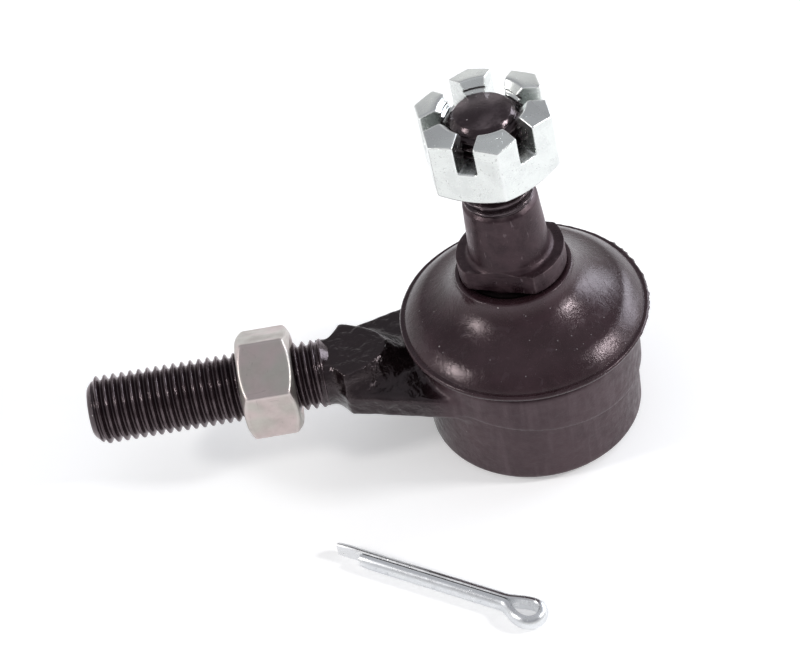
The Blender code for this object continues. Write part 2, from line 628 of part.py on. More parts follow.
def nut_limits_profile(bottom, top, faces, slopes, flats):
    """The turned outline that bores a nut and chamfers both its faces.

    faces and slopes hold the outer radius of each flat face and the slope of
    the chamfer outside it, the top's first.
    """
    outer = 0.5 * flats / math.cos(math.radians(30.0)) + GAP
    return [(NUT_FACE_INNER_RADIUS, top), (faces[0], top),
            (outer, top - slopes[0] * (outer - faces[0])),
            (outer, bottom + slopes[1] * (outer - faces[1])),
            (faces[1], bottom), (NUT_FACE_INNER_RADIUS, bottom),
            (NUT_BORE_RADIUS, bottom + NUT_BORE_CHAMFER), (NUT_BORE_RADIUS, top - NUT_BORE_CHAMFER)]


def slot_cutters(stud_axis):
    """Six blocks, one at the middle of each flat of the castle nut."""
    half = 0.5 * CASTLE_SLOT_WIDTH
    inner = NUT_BORE_RADIUS - 2.0 * NUT_BORE_CHAMFER
    bottom = CASTLE_TOP - CASTLE_SLOT_DEPTH
    blocks = []
    for number in range(6):
        name = f"castle_slot_{number + 1}"
        mesh = box_mesh(name, (inner, -half, bottom), (CASTLE_FLATS, half, CASTLE_TOP + MM))
        block = add_object(name, mesh, CUTTERS, parent=stud_axis)
        block.rotation_euler.z = CASTLE_CORNER_AZIMUTH + math.radians(30.0 + 60.0 * number)
        blocks.append(block)
    return blocks


def make_castle_nut(finish, stud_axis):
    """The slotted nut that holds the stud in the steering arm."""
    mesh = hex_mesh("castle_nut", CASTLE_FLATS, CASTLE_BOTTOM, CASTLE_TOP, CASTLE_CORNER_AZIMUTH)
    nut = add_object("castle_nut", mesh, parent=stud_axis)
    faces = (NUT_FACE_INNER_RADIUS + CASTLE_TOP_LAND, 0.5 * CASTLE_FLATS - GAP)
    profile = nut_limits_profile(CASTLE_BOTTOM, CASTLE_TOP, faces,
                                 (CASTLE_TOP_SLOPE, CASTLE_BASE_SLOPE), CASTLE_FLATS)
    limits = add_object("castle_limits",
                        turned_mesh("castle_limits", profile, BODY_SEGMENTS, ring=True),
                        CUTTERS, parent=stud_axis)
    boolean(nut, 'INTERSECT', limits)
    for block in slot_cutters(stud_axis):
        boolean(nut, 'DIFFERENCE', block)
    nut.data.materials.append(finish)
    smooth(nut)


def make_jam_nut(finish, shank_axis):
    """The nut on the shank that locks it in the tie rod's tube."""
    bottom = JAM_CENTRE - 0.5 * JAM_THICKNESS
    top = JAM_CENTRE + 0.5 * JAM_THICKNESS
    nut = add_object("jam_nut", hex_mesh("jam_nut", JAM_FLATS, bottom, top, 0.0),
                     parent=shank_axis)
    face = NUT_FACE_INNER_RADIUS + JAM_FACE_LAND
    profile = nut_limits_profile(bottom, top, (face, face), (JAM_FACE_SLOPE, JAM_FACE_SLOPE),
                                 JAM_FLATS)
    limits = add_object("jam_limits", turned_mesh("jam_limits", profile, BODY_SEGMENTS, ring=True),
                        CUTTERS, parent=shank_axis)
    boolean(nut, 'INTERSECT', limits)
    nut.data.materials.append(finish)
    smooth(nut)


# ---------------------------------------------------------------- dust boot

def lean_matrix(share):
    """The stud's resting lean about the ball's centre, or a share of it."""
    centre = Matrix.Translation((0.0, 0.0, BALL_CENTRE_Z))
    swing = Matrix.Rotation(share * REST_SWING, 4, 'Y')
    rock = Matrix.Rotation(share * REST_ROCK, 4, 'X')
    return centre @ swing @ rock @ centre.inverted()


def boot_profile():
    """The boot's section: neck lip, flare, shoulder, rim, bead in the groove, inside."""
    neck_top = BALL_CENTRE_Z + NECK_RING_TOP
    neck_bottom = BALL_CENTRE_Z + NECK_RING_BOTTOM
    floor_z = GROOVE_TOP_Z
    floor_top = floor_z + BOOT_FLOOR_THICKNESS
    rim = BOOT_RIM_RADIUS
    groove = GROOVE_RADIUS + GAP
    collar = COLLAR_RADIUS + GAP
    bead = BOOT_BEAD_RADIUS
    lip_z = neck_top - BOOT_LIP_ROUND
    dome = (rim - BOOT_DOME_INSET, floor_z + BOOT_DOME_HEIGHT)
    shoulder_end = (rim - BOOT_SHOULDER_INSET, floor_z + BOOT_SHOULDER_HEIGHT)
    flare = bezier((BOOT_NECK_OUTER, lip_z),
                   (BOOT_NECK_OUTER + BOOT_FLARE_HANDLE[0], lip_z - BOOT_FLARE_HANDLE[1]),
                   (dome[0] - BOOT_DOME_HANDLE[0], dome[1] + BOOT_DOME_HANDLE[1]),
                   dome, BOOT_FLARE_STEPS)
    shoulder = bezier(dome, (dome[0] + BOOT_DOME_AHEAD[0], dome[1] - BOOT_DOME_AHEAD[1]),
                      (shoulder_end[0], shoulder_end[1] + BOOT_SHOULDER_DROP),
                      shoulder_end, BOOT_SHOULDER_STEPS)
    edge = [(rim, floor_z + BOOT_RIM_WIDEST), (rim - BOOT_EDGE, floor_z)]
    inner_rim = rim - BOOT_RIM_WALL
    inner_neck = BOOT_NECK_INNER + BOOT_INNER_NECK_STEP
    inside = bezier((inner_rim, floor_top),
                    (inner_rim - BOOT_INNER_SHOULDER_HANDLE[0],
                     floor_top + BOOT_INNER_SHOULDER_HANDLE[1]),
                    (inner_neck + BOOT_INNER_FLARE_HANDLE[0],
                     floor_top + BOOT_INNER_FLARE_HANDLE[1]),
                    (inner_neck, neck_bottom), BOOT_INNER_STEPS)
    return ([(BOOT_NECK_INNER, neck_top), (BOOT_NECK_OUTER - BOOT_LIP_ROUND, neck_top)]
            + flare + shoulder[1:] + edge
            + [(bead, floor_z), (bead, SHOULDER_Z + GAP), (groove, SHOULDER_Z + GAP),
               (groove, GROOVE_TOP_Z - GAP), (collar, GROOVE_TOP_Z - GAP), (collar, floor_top)]
            + inside + [(BOOT_NECK_INNER, neck_bottom)])


def make_dust_boot(finish):
    """The rubber boot, its base upright on the cup and its neck on the stud."""
    mesh = turned_mesh("dust_boot", boot_profile(), BODY_SEGMENTS, ring=True)
    still = MOUTH_TOP_Z
    follows = BALL_CENTRE_Z + NECK_RING_BOTTOM - GAP
    for vertex in mesh.vertices:
        share = min(max((vertex.co.z - still) / (follows - still), 0.0), 1.0)
        vertex.co = lean_matrix(share * share * (3.0 - 2.0 * share)) @ vertex.co
    boot = add_object("dust_boot", mesh)
    boot.data.materials.append(finish)
    smooth(boot)


def make_boot_rings(finish, stud_axis):
    """The wire that clamps the boot's bead, and the sleeve in its neck."""
    wire_radius = 0.5 * CLAMP_WIRE_DIAMETER
    ring_radius = BOOT_BEAD_RADIUS + GAP + wire_radius
    turn = [2.0 * math.pi * i / WIRE_STEPS for i in range(WIRE_STEPS)]
    wire = [(ring_radius + wire_radius * math.cos(a),
             SHOULDER_Z + GAP + wire_radius - wire_radius * math.sin(a)) for a in turn]
    sleeve = [(NECK_RING_OUTER, NECK_RING_TOP), (NECK_RING_OUTER, NECK_RING_BOTTOM),
              (NECK_RING_INNER, NECK_RING_BOTTOM), (NECK_RING_INNER, NECK_RING_TOP)]
    for name, profile, parent in (("boot_clamp_ring", wire, None),
                                  ("boot_neck_ring", sleeve, stud_axis)):
        ring = add_object(name, turned_mesh(name, profile, BODY_SEGMENTS, ring=True),
                          parent=parent)
        ring.data.materials.append(finish)
        smooth(ring)


# ---------------------------------------------------------------- cotter pin

def poly_curve(name, points, closed):
    """A straight-sided curve through points of a plane."""
    curve = bpy.data.curves.new(name, 'CURVE')
    curve.dimensions = '2D'
    curve.fill_mode = 'NONE'
    spline = curve.splines.new('POLY')
    spline.points.add(len(points) - 1)
    for place, (x, y) in zip(spline.points, points):
        place.co = (x, y, 0.0, 1.0)
    spline.use_cyclic_u = closed
    return curve


def cotter_path():
    """Inner line of the folded wire: short leg, round the eye, long leg."""
    half_gap = 0.5 * COTTER_LEG_GAP
    eye_radius = 0.5 * (COTTER_EYE_WIDTH - COTTER_DIAMETER)
    eye_centre = 0.5 * COTTER_EYE_WIDTH - COTTER_EYE_LENGTH
    loop = []
    for step in range(COTTER_EYE_STEPS + 1):
        turned = 2.0 * (math.pi - COTTER_EYE_OPENING) * step / COTTER_EYE_STEPS
        angle = COTTER_EYE_OPENING + turned
        loop.append((eye_centre + eye_radius * math.cos(angle), eye_radius * math.sin(angle)))
    short = [(COTTER_LONG_LEG - COTTER_LEG_STEP, half_gap), (0.0, half_gap)]
    return short + loop + [(0.0, -half_gap), (COTTER_LONG_LEG, -half_gap)]


def make_cotter_pin(finish):
    """The split pin: half-round wire folded flat to flat round an eye."""
    radius = 0.5 * COTTER_DIAMETER
    steps = COTTER_SECTION_STEPS
    angles = [math.pi * (i / steps - 0.5) for i in range(steps + 1)]
    half_round = [(radius * math.cos(a), radius * math.sin(a)) for a in angles]
    section = add_object("cotter_section", poly_curve("cotter_section", half_round, True), CUTTERS)
    wire = poly_curve("cotter_wire", cotter_path(), False)
    wire.bevel_mode = 'OBJECT'
    wire.bevel_object = section
    wire.use_fill_caps = True
    place = (COTTER_EYE_X, -(CUP_RADIUS + COTTER_IN_FRONT), radius)
    guide = add_object("cotter_wire", wire, CUTTERS, place)
    guide.rotation_euler.z = COTTER_AZIMUTH
    mesh = evaluated_mesh(guide)
    build = bmesh.new()
    build.from_mesh(mesh)
    bmesh.ops.remove_doubles(build, verts=build.verts, dist=MERGE)
    bmesh.ops.recalc_face_normals(build, faces=build.faces)
    build.to_mesh(mesh)
    build.free()
    pin = add_object("cotter_pin", mesh)
    pin.data.materials.clear()
    pin.data.materials.append(finish)
    smooth(pin)


# ---------------------------------------------------------------- the part

def main():
    """Make the finishes, the joint axes and every piece."""
    forging = material("black_forging", (0.035, 0.026, 0.030), 0.42, 0.3)
    stud_finish = material("stud_phosphate", (0.045, 0.033, 0.037), 0.40, 0.3)
    acetal = material("acetal", (0.78, 0.77, 0.72), 0.45, 0.0)
    spring_steel = material("spring_steel", (0.35, 0.34, 0.33), 0.35, 1.0)
    plate = material("closing_plate", (0.20, 0.19, 0.18), 0.45, 0.8)
    rubber = material("boot_rubber", (0.030, 0.025, 0.028), 0.50, 0.0)
    ring_steel = material("ring_steel", (0.30, 0.29, 0.28), 0.40, 1.0)
    bright_zinc = material("bright_zinc", (0.78, 0.79, 0.77), 0.30, 1.0)
    dull_zinc = material("dull_zinc", (0.62, 0.58, 0.55), 0.45, 1.0)
    pin_steel = material("pin_steel", (0.72, 0.73, 0.74), 0.32, 1.0)

    ball_centre = (0.0, 0.0, BALL_CENTRE_Z)
    stud_axis = empty("stud_axis", ball_centre, (REST_ROCK, REST_SWING, 0.0))
    shank_axis = empty("shank_axis", ball_centre, (0.0, math.radians(-90.0), 0.0))
    bpy.context.view_layer.update()

    make_housing(forging, shank_axis)
    make_end_cap(plate)
    make_spring(spring_steel)
    make_seats(acetal)
    make_ball_stud(stud_finish, stud_axis)
    make_dust_boot(rubber)
    make_boot_rings(ring_steel, stud_axis)
    make_castle_nut(bright_zinc, stud_axis)
    make_jam_nut(dull_zinc, shank_axis)
    make_cotter_pin(pin_steel)


main()
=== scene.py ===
"""The looks of the tie rod end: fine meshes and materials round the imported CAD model."""

import json
import math

import bmesh
import bpy
import numpy as np
from mathutils import Matrix, Vector, geometry


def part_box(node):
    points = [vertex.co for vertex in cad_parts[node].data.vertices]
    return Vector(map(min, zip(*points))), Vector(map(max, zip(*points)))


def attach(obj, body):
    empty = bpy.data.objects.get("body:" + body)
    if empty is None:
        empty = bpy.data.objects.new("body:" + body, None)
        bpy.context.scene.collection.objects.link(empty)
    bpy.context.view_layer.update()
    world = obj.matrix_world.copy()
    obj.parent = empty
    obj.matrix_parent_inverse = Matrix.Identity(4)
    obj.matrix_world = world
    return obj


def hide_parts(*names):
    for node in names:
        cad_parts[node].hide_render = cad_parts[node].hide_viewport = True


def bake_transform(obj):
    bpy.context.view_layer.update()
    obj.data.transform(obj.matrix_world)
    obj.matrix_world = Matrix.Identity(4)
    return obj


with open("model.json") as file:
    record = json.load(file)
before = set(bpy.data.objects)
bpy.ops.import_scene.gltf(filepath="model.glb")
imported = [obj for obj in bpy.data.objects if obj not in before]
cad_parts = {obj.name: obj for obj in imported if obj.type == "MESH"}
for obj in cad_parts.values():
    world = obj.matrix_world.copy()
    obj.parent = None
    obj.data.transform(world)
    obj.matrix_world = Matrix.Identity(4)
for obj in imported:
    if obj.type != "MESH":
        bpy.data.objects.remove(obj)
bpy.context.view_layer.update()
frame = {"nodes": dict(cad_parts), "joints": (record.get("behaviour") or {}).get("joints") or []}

MM = 0.001
JOINTS = {joint["name"]: joint for joint in frame["joints"]}

# ---------------------------------------------------------------- places read from the frame

BALL = Vector(JOINTS["stud_swing"]["pos_m"])
STUD_AXIS = Vector(JOINTS["stud_spin"]["axis"]).normalized()
REST_TILT_Y = math.asin(STUD_AXIS.x / math.sqrt(STUD_AXIS.x ** 2 + STUD_AXIS.z ** 2))
REST_TILT_X = -math.asin(STUD_AXIS.y)

HOUSING_LOW, HOUSING_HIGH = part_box("housing")
BAND_RADIUS = HOUSING_HIGH.x
SHANK_END = -HOUSING_LOW.x
COLLAR_TOP = HOUSING_HIGH.z
JAM_LOW, JAM_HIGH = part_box("jam_nut")
PIN_LOW, PIN_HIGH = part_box("cotter_pin")
CLAMP_LOW, CLAMP_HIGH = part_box("boot_clamp_ring")

# ---------------------------------------------------------------- sizes of the fine meshes

SEGMENTS = 160
THREAD_SEGMENTS = 64
ROWS_PER_PITCH = 18
HOUSING_STEP = 0.27 * MM
NUT_STEP = 0.15 * MM
WIRE_STEPS = 20
WELD_DISTANCE = 0.5e-6

THREAD_RADIUS = 4.95 * MM
THREAD_PITCH = 1.25 * MM
THREAD_DEPTH = 0.68 * MM
THREAD_CREST = 0.14
THREAD_ROOT = 0.16
THREAD_ROUNDING = 0.35
GAP = 0.3 * MM


def stud_matrix():
    """From the stud's own frame (ball centre, +Z along the stud) to the row frame."""
    tilt = Matrix.Rotation(REST_TILT_Y, 4, 'Y') @ Matrix.Rotation(REST_TILT_X, 4, 'X')
    return Matrix.Translation(BALL) @ tilt


def shank_matrix():
    """From the shank's own frame (ball centre, +Z outwards along it) to the row frame."""
    return Matrix.Translation(BALL) @ Matrix.Rotation(math.radians(-90.0), 4, 'Y')


def eased(share):
    """A share from 0 to 1 that starts and ends gently."""
    return share * share * (3.0 - 2.0 * share)


# ---------------------------------------------------------------- mesh helpers

def mesh_object(name, points, faces):
    """A smooth-shaded object from points and faces."""
    mesh = bpy.data.meshes.new(name)
    mesh.from_pydata(points, [], faces)
    mesh.validate()
    mesh.shade_smooth()
    thing = bpy.data.objects.new(name, mesh)
    bpy.context.scene.collection.objects.link(thing)
    return thing


def applied(thing):
    """Apply an object's modifiers and its transform to its mesh."""
    bpy.context.view_layer.update()
    graph = bpy.context.evaluated_depsgraph_get()
    mesh = bpy.data.meshes.new_from_object(thing.evaluated_get(graph))
    mesh.transform(thing.matrix_world)
    thing.modifiers.clear()
    thing.data = mesh
    thing.matrix_world = Matrix.Identity(4)
    return thing


def smooth(thing, sharp_degrees=38.0):
    """Smooth shading with the edges over an angle kept sharp."""
    thing.data.shade_smooth()
    thing.data.set_sharp_from_angle(angle=math.radians(sharp_degrees))
    return thing


def cut(thing, operation, other):
    """Join, cut or intersect with another object, which then goes."""
    step = thing.modifiers.new("boolean", 'BOOLEAN')
    step.operation = operation
    step.solver = 'EXACT'
    step.object = other
    applied(thing)
    bpy.data.objects.remove(other, do_unlink=True)
    return thing


def rounded(corners, steps=4):
    """Outline points with each corner rounded.

    A corner is (radius, height, fillet); the fillet is how far from the corner
    its round starts on both sides, or 0 for a sharp corner.
    """
    points = []
    count = len(corners)
    for index, (r, z, fillet) in enumerate(corners):
        corner = Vector((r, z))
        if fillet == 0.0 or index in (0, count - 1):
            points.append((r, z))
            continue
        before = (Vector(corners[index - 1][:2]) - corner).normalized() * fillet
        after = (Vector(corners[index + 1][:2]) - corner).normalized() * fillet
        for step in range(steps + 1):
            t = step / steps
            place = (corner + before) * (1 - t) ** 2 + corner * 2 * t * (1 - t)
            place += (corner + after) * t ** 2
            points.append((place.x, place.y))
    return points


def turned(name, profile, segments=SEGMENTS, ring=False, shape=None):
    """Turn a profile of (radius, height) points about Z.

    The points run down the outer side.  shape may change the radius at each
    height and angle.  A ring's profile closes on itself.
    """
    radii = np.array([p[0] for p in profile])
    heights = np.array([p[1] for p in profile])
    angles = np.linspace(0.0, 2.0 * math.pi, segments, endpoint=False)
    wide = np.repeat(radii[:, None], segments, axis=1)
    if shape is not None:
        wide = shape(wide, heights[:, None], angles[None, :])
    xs = wide * np.cos(angles)
    ys = wide * np.sin(angles)
    zs = np.repeat(heights[:, None], segments, axis=1)
    points = np.stack([xs, ys, zs], axis=-1).reshape(-1, 3)
    rows = len(profile)
    low = np.arange(rows if ring else rows - 1)
    nxt = (low + 1) % rows
    around = np.arange(segments)
    ahead = (around + 1) % segments
    quads = np.stack(np.broadcast_arrays(
        low[:, None] * segments + around, nxt[:, None] * segments + around,
        nxt[:, None] * segments + ahead, low[:, None] * segments + ahead), axis=-1)
    thing = mesh_object(name, points.tolist(), quads.reshape(-1, 4).tolist())
    build = bmesh.new()
    build.from_mesh(thing.data)
    bmesh.ops.remove_doubles(build, verts=build.verts, dist=WELD_DISTANCE)
    build.to_mesh(thing.data)
    build.free()
    return thing


def put(thing, matrix, body, slot, finish, *nodes):
    """Place a piece, give it its finish, make it ride on its body and stand for its nodes."""
    thing.data.materials.clear()
    thing.data.materials.append(finish)
    thing.data.transform(matrix)
    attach(thing, body)
    if nodes:
        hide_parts(*nodes)
    return thing


# ---------------------------------------------------------------- threads

def thread_height(phase):
    """Height of the thread's ridge, 0 at the root and 1 at the crest, by phase 0 to 1."""
    away = np.abs(np.mod(phase, 1.0) - 0.5) * 2.0
    flank = (1.0 - THREAD_ROOT - away) / (1.0 - THREAD_ROOT - THREAD_CREST)
    ridge = np.clip(flank, 0.0, 1.0)
    return eased(ridge) * THREAD_ROUNDING + ridge * (1.0 - THREAD_ROUNDING)


def thread_shape(limit_heights, limit_radii, outer, depth, foot, runout):
    """A radius function: a helical thread under an outline of largest radii.

    The grooves fade out over runout below the height called foot.
    """
    def shape(wide, heights, angles):
        phase = heights / THREAD_PITCH - angles / (2.0 * math.pi)
        fade = np.clip((heights - foot + runout) / runout, 0.0, 1.0)
        threaded = outer - depth * fade * (1.0 - thread_height(phase))
        limit = np.interp(heights[:, 0], limit_heights, limit_radii)[:, None]
        made = np.minimum(threaded, limit)
        return np.where(wide <= 0.0, 0.0, made)
    return shape


def threaded_bar(name, outline, outer, foot, runout):
    """A closed bar with a thread, inside an outline of (height, radius) from the bottom up."""
    heights = np.array([p[0] for p in outline])
    radii = np.array([p[1] for p in outline])
    rows = int((heights[-1] - heights[0]) / THREAD_PITCH * ROWS_PER_PITCH) + 1
    levels = np.linspace(heights[-1], heights[0], rows)
    profile = [(0.0, levels[0])] + [(1.0, z) for z in levels] + [(0.0, levels[-1])]
    shape = thread_shape(heights, radii, outer, THREAD_DEPTH, foot, runout)
    return turned(name, profile, THREAD_SEGMENTS, shape=shape)


# ---------------------------------------------------------------- solids from distance fields

def outline_distance(r, z, outline):
    """Signed distance in a plane to a closed outline, negative inside it."""
    points = np.array(outline)
    inside = np.zeros(r.shape, bool)
    nearest = np.full(r.shape, np.inf)
    for (ar, az), (br, bz) in zip(points, np.roll(points, -1, axis=0)):
        er = br - ar
        ez = bz - az
        share = np.clip(((r - ar) * er + (z - az) * ez) / (er * er + ez * ez), 0.0, 1.0)
        nearest = np.minimum(nearest, (r - ar - share * er) ** 2 + (z - az - share * ez) ** 2)
        if az != bz:
            inside ^= ((az > z) != (bz > z)) & (r < ar + (z - az) / (bz - az) * er)
    return np.where(inside, -1.0, 1.0) * np.sqrt(nearest)


def joined(a, b, round_size):
    """Union of two fields with a fillet."""
    share = np.clip(0.5 + 0.5 * (b - a) / round_size, 0.0, 1.0)
    return b + (a - b) * share - round_size * share * (1.0 - share)


def shared(a, b, round_size):
    """Intersection of two fields with a rounded edge."""
    return -joined(-a, -b, round_size)


def field_slope(field, points, reach):
    """Gradient of a field at points, by differences over reach."""
    slopes = []
    for axis in range(3):
        step = np.zeros(3)
        step[axis] = reach
        ahead = field(*(points + step).T)
        behind = field(*(points - step).T)
        slopes.append((ahead - behind) / (2.0 * reach))
    return np.stack(slopes, axis=1)


def field_mesh(name, field, low, high, step):
    """A closed mesh on the zero level of a signed distance field."""
    axes = [np.arange(lo, hi + step, step) for lo, hi in zip(low, high)]
    values = field(*np.meshgrid(*axes, indexing='ij'))
    inside = values < 0.0
    size = values.size
    total = np.zeros((3, size))
    count = np.zeros(size)
    quads = []
    for axis in range(3):
        near = [slice(None)] * 3
        far = [slice(None)] * 3
        near[axis] = slice(None, -1)
        far[axis] = slice(1, None)
        near = tuple(near)
        far = tuple(far)
        crossing = inside[near] != inside[far]
        at = np.argwhere(crossing)
        first = values[near][crossing]
        second = values[far][crossing]
        place = at.astype(float)
        place[:, axis] += first / (first - second)
        corners = []
        for side, rise in ((0, 0), (-1, 0), (-1, -1), (0, -1)):
            cell = at.copy()
            cell[:, (axis + 1) % 3] += side
            cell[:, (axis + 2) % 3] += rise
            flat = np.ravel_multi_index(cell.T, values.shape)
            count += np.bincount(flat, minlength=size)
            for part in range(3):
                total[part] += np.bincount(flat, weights=place[:, part], minlength=size)
            corners.append(flat)
        quad = np.stack(corners, axis=1)
        outward = inside[near][crossing]
        quads.append(np.where(outward[:, None], quad, quad[:, ::-1]))
    used = np.nonzero(count)[0]
    number = np.zeros(size, int)
    number[used] = np.arange(len(used))
    points = (total[:, used] / count[used]).T * step + np.array(low)
    for _ in range(3):
        slope = field_slope(field, points, 0.1 * step)
        steepness = np.maximum((slope ** 2).sum(axis=1), 0.05)
        move = -(field(*points.T) / steepness)[:, None] * slope
        points += np.clip(move, -0.5 * step, 0.5 * step)
    faces = number[np.concatenate(quads)]
    return mesh_object(name, points.tolist(), faces.tolist())


def curve_between(start, start_handle, end_handle, end, steps):
    """Points of one smooth curve between two outline points."""
    knots = [Vector((*p, 0.0)) for p in (start, start_handle, end_handle, end)]
    return [(p.x, p.y) for p in geometry.interpolate_bezier(*knots, steps + 1)]


# ---------------------------------------------------------------- housing

CUP_RADIUS = BAND_RADIUS - 0.55 * MM
SHOULDER_Z = BALL.z + 3.56 * MM
COLLAR_HEIGHT = 1.54 * MM
GROOVE_TOP_Z = COLLAR_TOP - COLLAR_HEIGHT
BASE_CHAMFER = 1.1 * MM
BASE_CHAMFER_HEIGHT = 1.25 * MM
CUP_ROUND = 0.35 * MM
GROOVE_ROUND = 0.2 * MM
SHOULDER_ROUND = 0.3 * MM
COLLAR_RADIUS = 12.65 * MM
GROOVE_RADIUS = 11.65 * MM
CAVITY_RADIUS = 11.2 * MM
CAVITY_STEPS = 10
HOLLOW_SPARE = 2.0 * MM
MOUTH_Z = BALL.z + 5.5 * MM
MOUTH_RADIUS = 7.99 * MM
MOUTH_SLOPE = 0.477
CAP_RADIUS = 12.0 * MM
CAP_TOP = 3.0 * MM
CAP_BOTTOM = 1.2 * MM
CAP_SEAT_RADIUS = CAP_RADIUS + GAP
CAP_LIP_RADIUS = 11.64 * MM
CAP_SEAT_TOP = CAP_TOP + GAP
CAP_SEAT_BOTTOM = CAP_BOTTOM - GAP
BAND_EDGE_Z = 11.1 * MM
BAND_EDGE_SLOPE = -0.13
ARM_TOP = BALL.z + 1.16 * MM
ARM_THICKNESS = 3.7 * MM
ARM_BOTTOM = ARM_TOP - ARM_THICKNESS
ARM_EDGE = 0.7 * MM
ARM_HALF_WIDTH_AT_CUP = 11.3 * MM
ARM_HALF_WIDTH_AT_SHANK = 6.9 * MM
ARM_FULL_WIDTH_AT = 11.6 * MM
ARM_REACH_IN = 6.0 * MM
SHANK_COLLAR_AT = CUP_RADIUS + 10.7 * MM
ARM_END = SHANK_COLLAR_AT + 0.2 * MM
SHANK_NECK_AT = CUP_RADIUS + 13.4 * MM
SHANK_COLLAR_RADIUS = 6.5 * MM
SHANK_NECK_RADIUS = 4.74 * MM
SHANK_NECK_END_AT = SHANK_NECK_AT + 1.3 * MM
THREAD_INTO_NECK = 0.4 * MM
SHANK_FILLET_NECK_HANDLE = 1.0 * MM
SHANK_FILLET_COLLAR_HANDLE = (-0.7 * MM, 1.0 * MM)
SHANK_FILLET_END = (-0.1 * MM, 0.5 * MM)
BOSS_START = 0.1 * MM
BOSS_TIP_AT = SHANK_COLLAR_AT - 10.3 * MM
BOSS_COLLAR_HANDLE = (-0.6 * MM, -3.2 * MM)
BOSS_TIP_HANDLE = (2.6 * MM, 1.6 * MM)


def cup_outline():
    """Half the cup's section without its hollow: base, wall, groove, collar."""
    return rounded([
        (0.0, COLLAR_TOP, 0.0), (COLLAR_RADIUS, COLLAR_TOP, CUP_ROUND),
        (COLLAR_RADIUS, GROOVE_TOP_Z, 0.5 * GROOVE_ROUND), (GROOVE_RADIUS, GROOVE_TOP_Z, GROOVE_ROUND),
        (GROOVE_RADIUS, SHOULDER_Z, GROOVE_ROUND), (CUP_RADIUS, SHOULDER_Z, SHOULDER_ROUND),
        (CUP_RADIUS, BASE_CHAMFER_HEIGHT, CUP_ROUND), (CUP_RADIUS - BASE_CHAMFER, 0.0, CUP_ROUND),
        (0.0, 0.0, 0.0)], 3)


def hollow_outline():
    """Half the section of the cup's hollow, beyond both of its ends."""
    above = COLLAR_TOP + HOLLOW_SPARE
    start = math.asin((MOUTH_Z - BALL.z) / CAVITY_RADIUS)
    angles = [start * (1 - step / CAVITY_STEPS) for step in range(CAVITY_STEPS + 1)]
    ball = [(CAVITY_RADIUS * math.cos(angle), BALL.z + CAVITY_RADIUS * math.sin(angle))
            for angle in angles]
    return [(-MM, above), (MOUTH_RADIUS + MOUTH_SLOPE * (above - MOUTH_Z), above),
            (MOUTH_RADIUS, MOUTH_Z)] + ball + [
            (CAVITY_RADIUS, CAP_SEAT_TOP), (CAP_SEAT_RADIUS, CAP_SEAT_TOP),
            (CAP_SEAT_RADIUS, CAP_SEAT_BOTTOM), (CAP_LIP_RADIUS, CAP_SEAT_BOTTOM),
            (CAP_LIP_RADIUS, -HOLLOW_SPARE), (-MM, -HOLLOW_SPARE)]


def shank_outline():
    """Half the section of boss, collar and neck, as distances from the cup's axis."""
    collar = Vector((SHANK_COLLAR_RADIUS, SHANK_COLLAR_AT))
    fillet = curve_between((SHANK_NECK_RADIUS, SHANK_NECK_AT),
                           (SHANK_NECK_RADIUS, SHANK_NECK_AT - SHANK_FILLET_NECK_HANDLE),
                           collar + Vector(SHANK_FILLET_COLLAR_HANDLE),
                           collar + Vector(SHANK_FILLET_END), 8)
    tip = Vector((0.0, BOSS_TIP_AT))
    boss = curve_between(collar + Vector((0.0, BOSS_START)), collar + Vector(BOSS_COLLAR_HANDLE),
                         tip + Vector(BOSS_TIP_HANDLE), tip, 14)
    return ([(-MM, SHANK_NECK_END_AT), (SHANK_NECK_RADIUS, SHANK_NECK_END_AT)]
            + fillet + boss + [(-MM, BOSS_TIP_AT)])


FORGE_WOBBLE = 0.035 * MM
ARM_FILLET = 1.6 * MM
CUP_FILLET = 1.3 * MM
BAND_FILLET = 0.5 * MM
CUP_OUTLINE = cup_outline()
HOLLOW_OUTLINE = hollow_outline()
SHANK_OUTLINE = shank_outline()
ARM_OUTLINE = [(-ARM_END, -ARM_HALF_WIDTH_AT_SHANK), (-ARM_FULL_WIDTH_AT, -ARM_HALF_WIDTH_AT_CUP),
               (-ARM_REACH_IN, -ARM_HALF_WIDTH_AT_CUP), (-ARM_REACH_IN, ARM_HALF_WIDTH_AT_CUP),
               (-ARM_FULL_WIDTH_AT, ARM_HALF_WIDTH_AT_CUP), (-ARM_END, ARM_HALF_WIDTH_AT_SHANK)]


def arm_field(x, y, z):
    """The flat arm, a tapered plate with rounded edges."""
    middle = 0.5 * (ARM_TOP + ARM_BOTTOM)
    across = outline_distance(x, y, ARM_OUTLINE) + ARM_EDGE
    up = np.abs(z - middle) - 0.5 * (ARM_TOP - ARM_BOTTOM) + ARM_EDGE
    outside = np.hypot(np.maximum(across, 0.0), np.maximum(up, 0.0))
    return np.minimum(np.maximum(across, up), 0.0) + outside - ARM_EDGE


def forge_wobble(x, y, z):
    """Slight unevenness of a forged skin, strongest on the arm and the boss."""
    along = 2.0 * math.pi / MM
    waves = (np.sin(along * (0.31 * x + 0.12 * y + 0.23 * z) + 1.0)
             * np.sin(along * (0.17 * y - 0.26 * z + 0.08 * x))
             + 0.6 * np.sin(along * (0.41 * y + 0.19 * x) + 2.0)
             * np.sin(along * (0.37 * z - 0.29 * x)))
    on_arm = np.clip((-x - 12.0 * MM) / (5.0 * MM), 0.15, 1.0)
    return FORGE_WOBBLE * waves * on_arm


